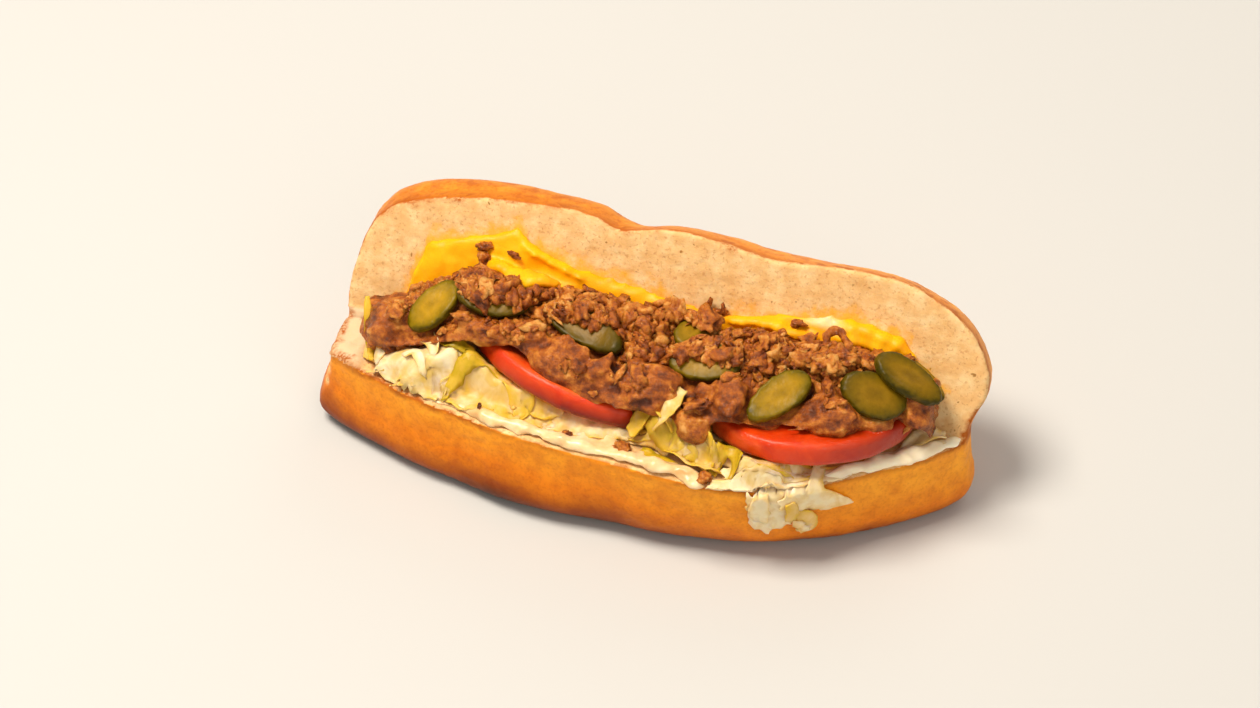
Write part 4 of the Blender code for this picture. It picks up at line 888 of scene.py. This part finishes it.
fibre = add(tree, "TexNoise", {"Scale": 1000 / 1.2, "Detail": 6.0, "Roughness": 0.75}, {"Vector": along_fibres})
tree.links.new(add(tree, "Bump", {"Distance": 0.0009, "Strength": 1.0}, {"Height": fibre}).outputs[0],
               shader.inputs["Normal"])

# Lumps: middle and half sizes in mm, with a turn about Z in degrees.
LUMPS = (((-25, -0.5, 46.0), (11.5, 8.0, 7.0), -20), ((-15, -4, 43.0), (8, 6, 5.0), -30),
         ((4.5, -3.5, 46.5), (9.5, 7.5, 6.5), 15), ((57, -0.5, 45.0), (10.5, 7.5, 7.0), 0),
         ((-50, 5, 47.8), (9, 5, 4.6), -12), ((-81, 7.5, 40.8), (7.5, 7, 6.5), 0),
         ((-75, 8, 41.5), (6, 6, 5), 20), ((27, -1.5, 46.6), (7, 6.5, 5.5), 0),
         ((80.5, 11, 42.5), (6.5, 6, 5.0), 20), ((38, -4.5, 42.8), (6, 5, 4), 0),
         ((70, 3.0, 42.5), (6, 5, 4), 15), ((18.5, -12.6, 41.0), (5.4, 4.4, 4.6), 0),
         ((79.5, 13.0, 48.0), (7.5, 6.0, 5.5), 10))
# Gaps between the lumps, dug in and painted dark as painted shade through the tone: place, reach and depth, in
# mm.
GAPS = (((15.6, -5.5, 47.2), 3.6, 4.2), ((-8.0, -8, 47.8), 2.6, 1.8), ((-7.8, -2, 49.8), 3.0, 3.0),
        ((-7.0, 5, 48.6), 2.8, 2.4), ((-44.8, 7, 50.0), 3.2, 2.6), ((2.6, -12.5, 46.5), 2.6, 2.2),
        ((34.0, 4.5, 51.6), 2.6, 2.0), ((49.6, 2.5, 48.8), 2.8, 2.0), ((-31.0, 6.0, 50.0), 2.6, 2.0))
heap = merged_copy("meat")
for middle, half, turn in LUMPS:
    where = (Matrix.Translation(Vector(middle) * 0.001) @ Matrix.Rotation(math.radians(turn), 4, "Z")
             @ Matrix.Diagonal((half[0] * 0.001, half[1] * 0.001, half[2] * 0.001, 1.0)))
    bmesh.ops.create_icosphere(heap, subdivisions=3, radius=1.0, matrix=where)
heap = evened(heap, 0.0008, 4)
heap_tone = []
for v in heap.verts:
    p = v.co * 1000
    moist = max(max(0.0, 1.25 - math.dist(p, m) / (1.25 * max(h))) for m, h, _ in LUMPS)
    moist = min(1.0, moist * 3.0)
    flow = Vector((v.co.x + 0.35 * v.co.z, v.co.y * 1.8, v.co.z * 1.6 - 0.3 * v.co.x))
    loose = 0.80 * ripple(v.co, 5.5, 3, 2.0) + 0.35 * ripple(v.co, 1.9, 2, 6.0) - 0.2
    soft = (0.75 * ripple(flow, 7.0, 2, 5.0) - 0.80 * abs(ripple(flow, 5.5, 1, 8.0))
            + 0.22 * ripple(v.co, 1.9, 2, 6.0))
    rough = loose + (soft - loose) * moist
    crooked = 2.4 * ripple(v.co, 3.6, 2, 31.0)
    rough -= max(max(0.0, 1.0 - (math.dist(p, at) + crooked) / reach) ** 0.8 * depth
                 for at, reach, depth in GAPS)
    golden = max(0.0, 1.0 - math.dist(p, (18.0, -12.8, 42.5)) / 7.0,
                 0.9 - math.dist(p, (-52, 3.5, 48.5)) / 9.0)
    rough += 1.6 * golden * ripple(v.co, 3.4, 3, 40.0)
    # The tone follows the relief as painted shade and light: darker in dips and gaps, lighter on the peaks; the
    # rest is the meat's own tone.
    heap_tone.append(0.42 + 0.10 * moist + 0.30 * golden + 0.12 * ripple(v.co, 5.5, 2, 3.0) + 0.40 * rough)
    away = (v.co - FOLD).dot(FLAP_FACING)
    sink = clipped(min((p.x - 14) / 10, (68 - p.x) / 10)) * clipped(1.2 - away / 0.010)
    v.co += v.normal * 0.001 * rough
    v.co.z -= 0.003 * sink
# Where a pickle slice shows, the heap lies below its upper face.
for v in heap.verts:
    for _, slice_tree, _, facing in pickle_slices:
        near_slice = slice_tree.find_nearest(v.co, 0.0035)[0]
        if near_slice is not None:
            above = (v.co - near_slice).dot(facing)
            if above > -0.0004 and (v.co - near_slice - facing * above).length < 0.0006:
                v.co -= facing * (above + 0.0005)
relax(heap, heap.verts, 1, 0.3)
heap_mesh = to_mesh(heap, "meat_heap", {"tone": heap_tone})
meat = shown("meat_heap", heap_mesh, meat_finish)
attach(meat, "root")
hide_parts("meat")


def torn_bit(seed, rounds, jag):
    """A torn bit of meat about 2 units across: its corners, its faces and its painted shade at each corner."""
    bm = bmesh.new()
    bmesh.ops.create_icosphere(bm, subdivisions=rounds, radius=1.0)
    hollows = []
    for v in bm.verts:
        q = v.co * 1.2 + Vector((seed * 2.3, seed * 0.7, 0))
        out = jag * noise.noise(q) + 0.7 * jag * noise.noise(q * 2.4) + 0.4 * jag * noise.noise(q * 5.0)
        v.co *= 1.0 + out
        # Painted shade and light: each corner's tone is darker where the surface dips in and lighter on the
        # bumps.
        hollows.append(min(0.22, 0.55 * out))
    corners, faces = taken_apart(bm)
    return np.array(corners), faces, hollows


def placed(bit, sizes, turn, centre, tone):
    """A torn bit sized, turned and moved into place, with its painted shade added to the tone: (corners, faces,
    tones).
    """
    shape, sides, hollows = bit
    corners = shape @ np.diag(sizes) @ np.array(turn).T + np.array(centre)
    return corners.tolist(), sides, [tone + hollow_painted_shade for hollow_painted_shade in hollows]


# Meat lies on these pickle slices (counted from 0) from this far behind their middle, in metres.
COVERED_FROM = {1: -0.0025, 2: -0.0005, 3: 0.003, 4: -0.001, 8: 0.004}
BIT_KINDS = 14


def on_shown_pickle(point, size):
    """Whether a bit of this size would lie on the part of a pickle slice that shows."""
    for index, (_, tree, middle, _) in enumerate(pickle_slices):
        touches = tree.find_nearest(point, size * 1.1 + 0.0004)[0] is not None
        if touches and (index not in COVERED_FROM or point.y - middle.y < COVERED_FROM[index]):
            return True
    return False


# What the bits lie on, and what they keep clear of.
cover = tree_of(heap_mesh, *[mesh for mesh, _, _, _ in pickle_slices])
kept_clear = [*[tree_of(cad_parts[n].data) for n in ("tomato_left", "tomato_right")], cheese_tree]


def scattered(name, count, sizes, stretch, flat, rounds, jag, front, seed):
    """Bits strewn over the heap's upper side; front is the share of them that may lie on its front."""
    draw = random.Random(seed)
    kinds = [torn_bit(seed + k * 3.7, rounds, jag) for k in range(BIT_KINDS)]
    pieces, tries = [], 0
    while len(pieces) < count and tries < count * 40:
        tries += 1
        x, y = draw.uniform(-0.088, 0.086), draw.uniform(-0.014, 0.031)
        hit, normal = under(cover, x, y)
        if hit is None or hit.z < 0.038 or normal.z < 0.05:
            continue
        edge = 0.0035 + 0.0035 * noise.noise(Vector((x * 90, seed, 0))) + (0.004 if x > 0.045 else 0.0)
        if y < edge and draw.random() > front:
            continue
        if x < -0.074 and y > 0.019 - 200 * (x + 0.074) ** 2 - 0.6 * (-0.074 - x):
            continue
        size = sizes[0] + (sizes[1] - sizes[0]) * draw.random() ** 1.8
        centre = hit + normal * size * draw.uniform(0.05, 0.35)
        # Along the flap a strip stays free for the cheese and the crumb, wider in the right half.
        bare = 0.0046 + 0.0038 * clipped(min((x - 0.016) / 0.008, (0.066 - x) / 0.008))
        bare += size * 0.4 + 0.0012 * noise.noise(centre * 130)
        if (centre - FOLD).dot(FLAP_FACING) < bare:
            continue
        if on_shown_pickle(centre, size * 0.5):
            continue
        if any(t.find_nearest(centre, size * 0.55)[0] is not None for t in kept_clear):
            continue
        turn = normal.to_track_quat("Z", "Y").to_matrix() @ Matrix.Rotation(draw.uniform(0, 6.28), 3, "Z")
        turn = turn @ Matrix.Rotation(draw.gauss(0, 0.5), 3, "X")
        halves = [size * 0.5 * draw.uniform(*stretch), size * 0.5, size * 0.5 * draw.uniform(*flat)]
        bit = kinds[draw.randrange(BIT_KINDS)]
        pieces.append(placed(bit, halves, turn, centre, draw.gauss(0.54, 0.13)))
    bits = joined(name, pieces, meat_finish, "tone")
    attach(bits, "root")


scattered("meat_crumbs", 1150, (0.0013, 0.0044), (0.9, 1.7), (0.5, 0.9), 2, 0.75, 0.04, 21)
scattered("meat_shreds", 240, (0.0016, 0.0030), (1.8, 3.4), (0.4, 0.8), 2, 0.60, 0.10, 47)
scattered("meat_chunks", 46, (0.0045, 0.0072), (0.9, 1.5), (0.5, 0.8), 3, 0.65, 0.04, 63)

# Single bits that lie apart or stand out: middle and half sizes in mm, turns about X and Z, and how pale.
SINGLES = (
    ((-40.0, 14.6, 51.4), (2.2, 2.9, 1.8), 30, 10, 0.78), ((37.0, 11.0, 54.6), (1.6, 3.3, 1.5), 35, -25, 0.80),
    ((-58.0, 30.4, 56.6), (2.6, 1.4, 1.6), 60, 20, 0.40), ((-57.0, 28.0, 53.6), (2.0, 1.6, 3.0), -25, 0, 0.46),
    ((-48.3, 29.9, 55.9), (2.0, 1.0, 1.1), 60, -20, 0.22), ((40.2, 28.2, 51.6), (2.4, 1.2, 2.0), 55, 10, 0.42),
    ((33.6, 26.6, 49.6), (1.6, 0.8, 0.8), 60, 0, 0.22), ((-19.3, -15.8, 32.4), (1.5, 1.0, 0.7), 0, 10, 0.30),
    ((-2.0, -17.4, 32.8), (2.6, 2.0, 1.6), 15, -15, 0.48), ((24.7, -22.6, 32.2), (2.0, 1.8, 1.5), 20, 30, 0.60),
    ((-47.5, -12.6, 33.4), (0.6, 1.1, 0.5), 20, 10, 0.05),
    ((12.4, 29.0, 51.2), (0.9, 0.9, 3.0), -20, -35, 0.44),
    ((15.0, 27.6, 50.2), (3.6, 1.0, 1.0), 0, 30, 0.40), ((17.4, 28.6, 50.6), (0.9, 1.0, 2.4), -20, 25, 0.46),
    ((79.5, 7.5, 39.0), (3.2, 1.0, 0.9), 10, 65, 0.62), ((77.0, 5.5, 39.5), (3.0, 0.9, 0.8), 15, 50, 0.56),
    ((-83.6, 1.8, 36.8), (2.8, 2.2, 2.4), 0, 20, 0.62), ((-79.6, 0.8, 36.6), (2.6, 2.0, 2.2), 0, -10, 0.52),
    ((-75.6, 2.2, 38.0), (2.6, 1.8, 2.0), 0, 35, 0.58), ((-71.4, 3.0, 39.6), (2.4, 1.8, 1.8), 0, -30, 0.46),
)
singles = []
for index, (middle, half, tip, turn, pale) in enumerate(SINGLES):
    face = Matrix.Rotation(math.radians(turn), 3, "Z") @ Matrix.Rotation(math.radians(tip), 3, "X")
    singles.append(placed(torn_bit(5.3 * index + 2.0, 3, 0.55), np.array(half) * 0.001, face,
                          np.array(middle) * 0.001, pale))
lone_bits = joined("meat_singles", singles, meat_finish, "tone")
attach(lone_bits, "root")

# A shred of the same meat, curled round on itself on the griddle, stands up on the right of the heap.
curl = bmesh.new()
dollops(curl, [(51.5, 18.0, 53.8, 1.2), (50.6, 21.5, 55.6, 1.3), (52.4, 23.8, 56.8, 1.3),
               (55.6, 22.4, 56.4, 1.3), (57.6, 19.0, 54.6, 1.3), (59.6, 16.5, 53.2, 1.1)], 1.0, 77)
curl = evened(curl, 0.0006, 2)
for v in curl.verts:
    v.co += v.normal * 0.001 * 0.5 * ripple(v.co, 2.2, 2, 3.0)
curl_tone = [0.5 + 0.15 * ripple(v.co, 3.0, 1, 3.0) for v in curl.verts]
ring = shown("meat_curl", to_mesh(curl, "meat_curl", {"tone": curl_tone}), meat_finish)
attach(ring, "root")
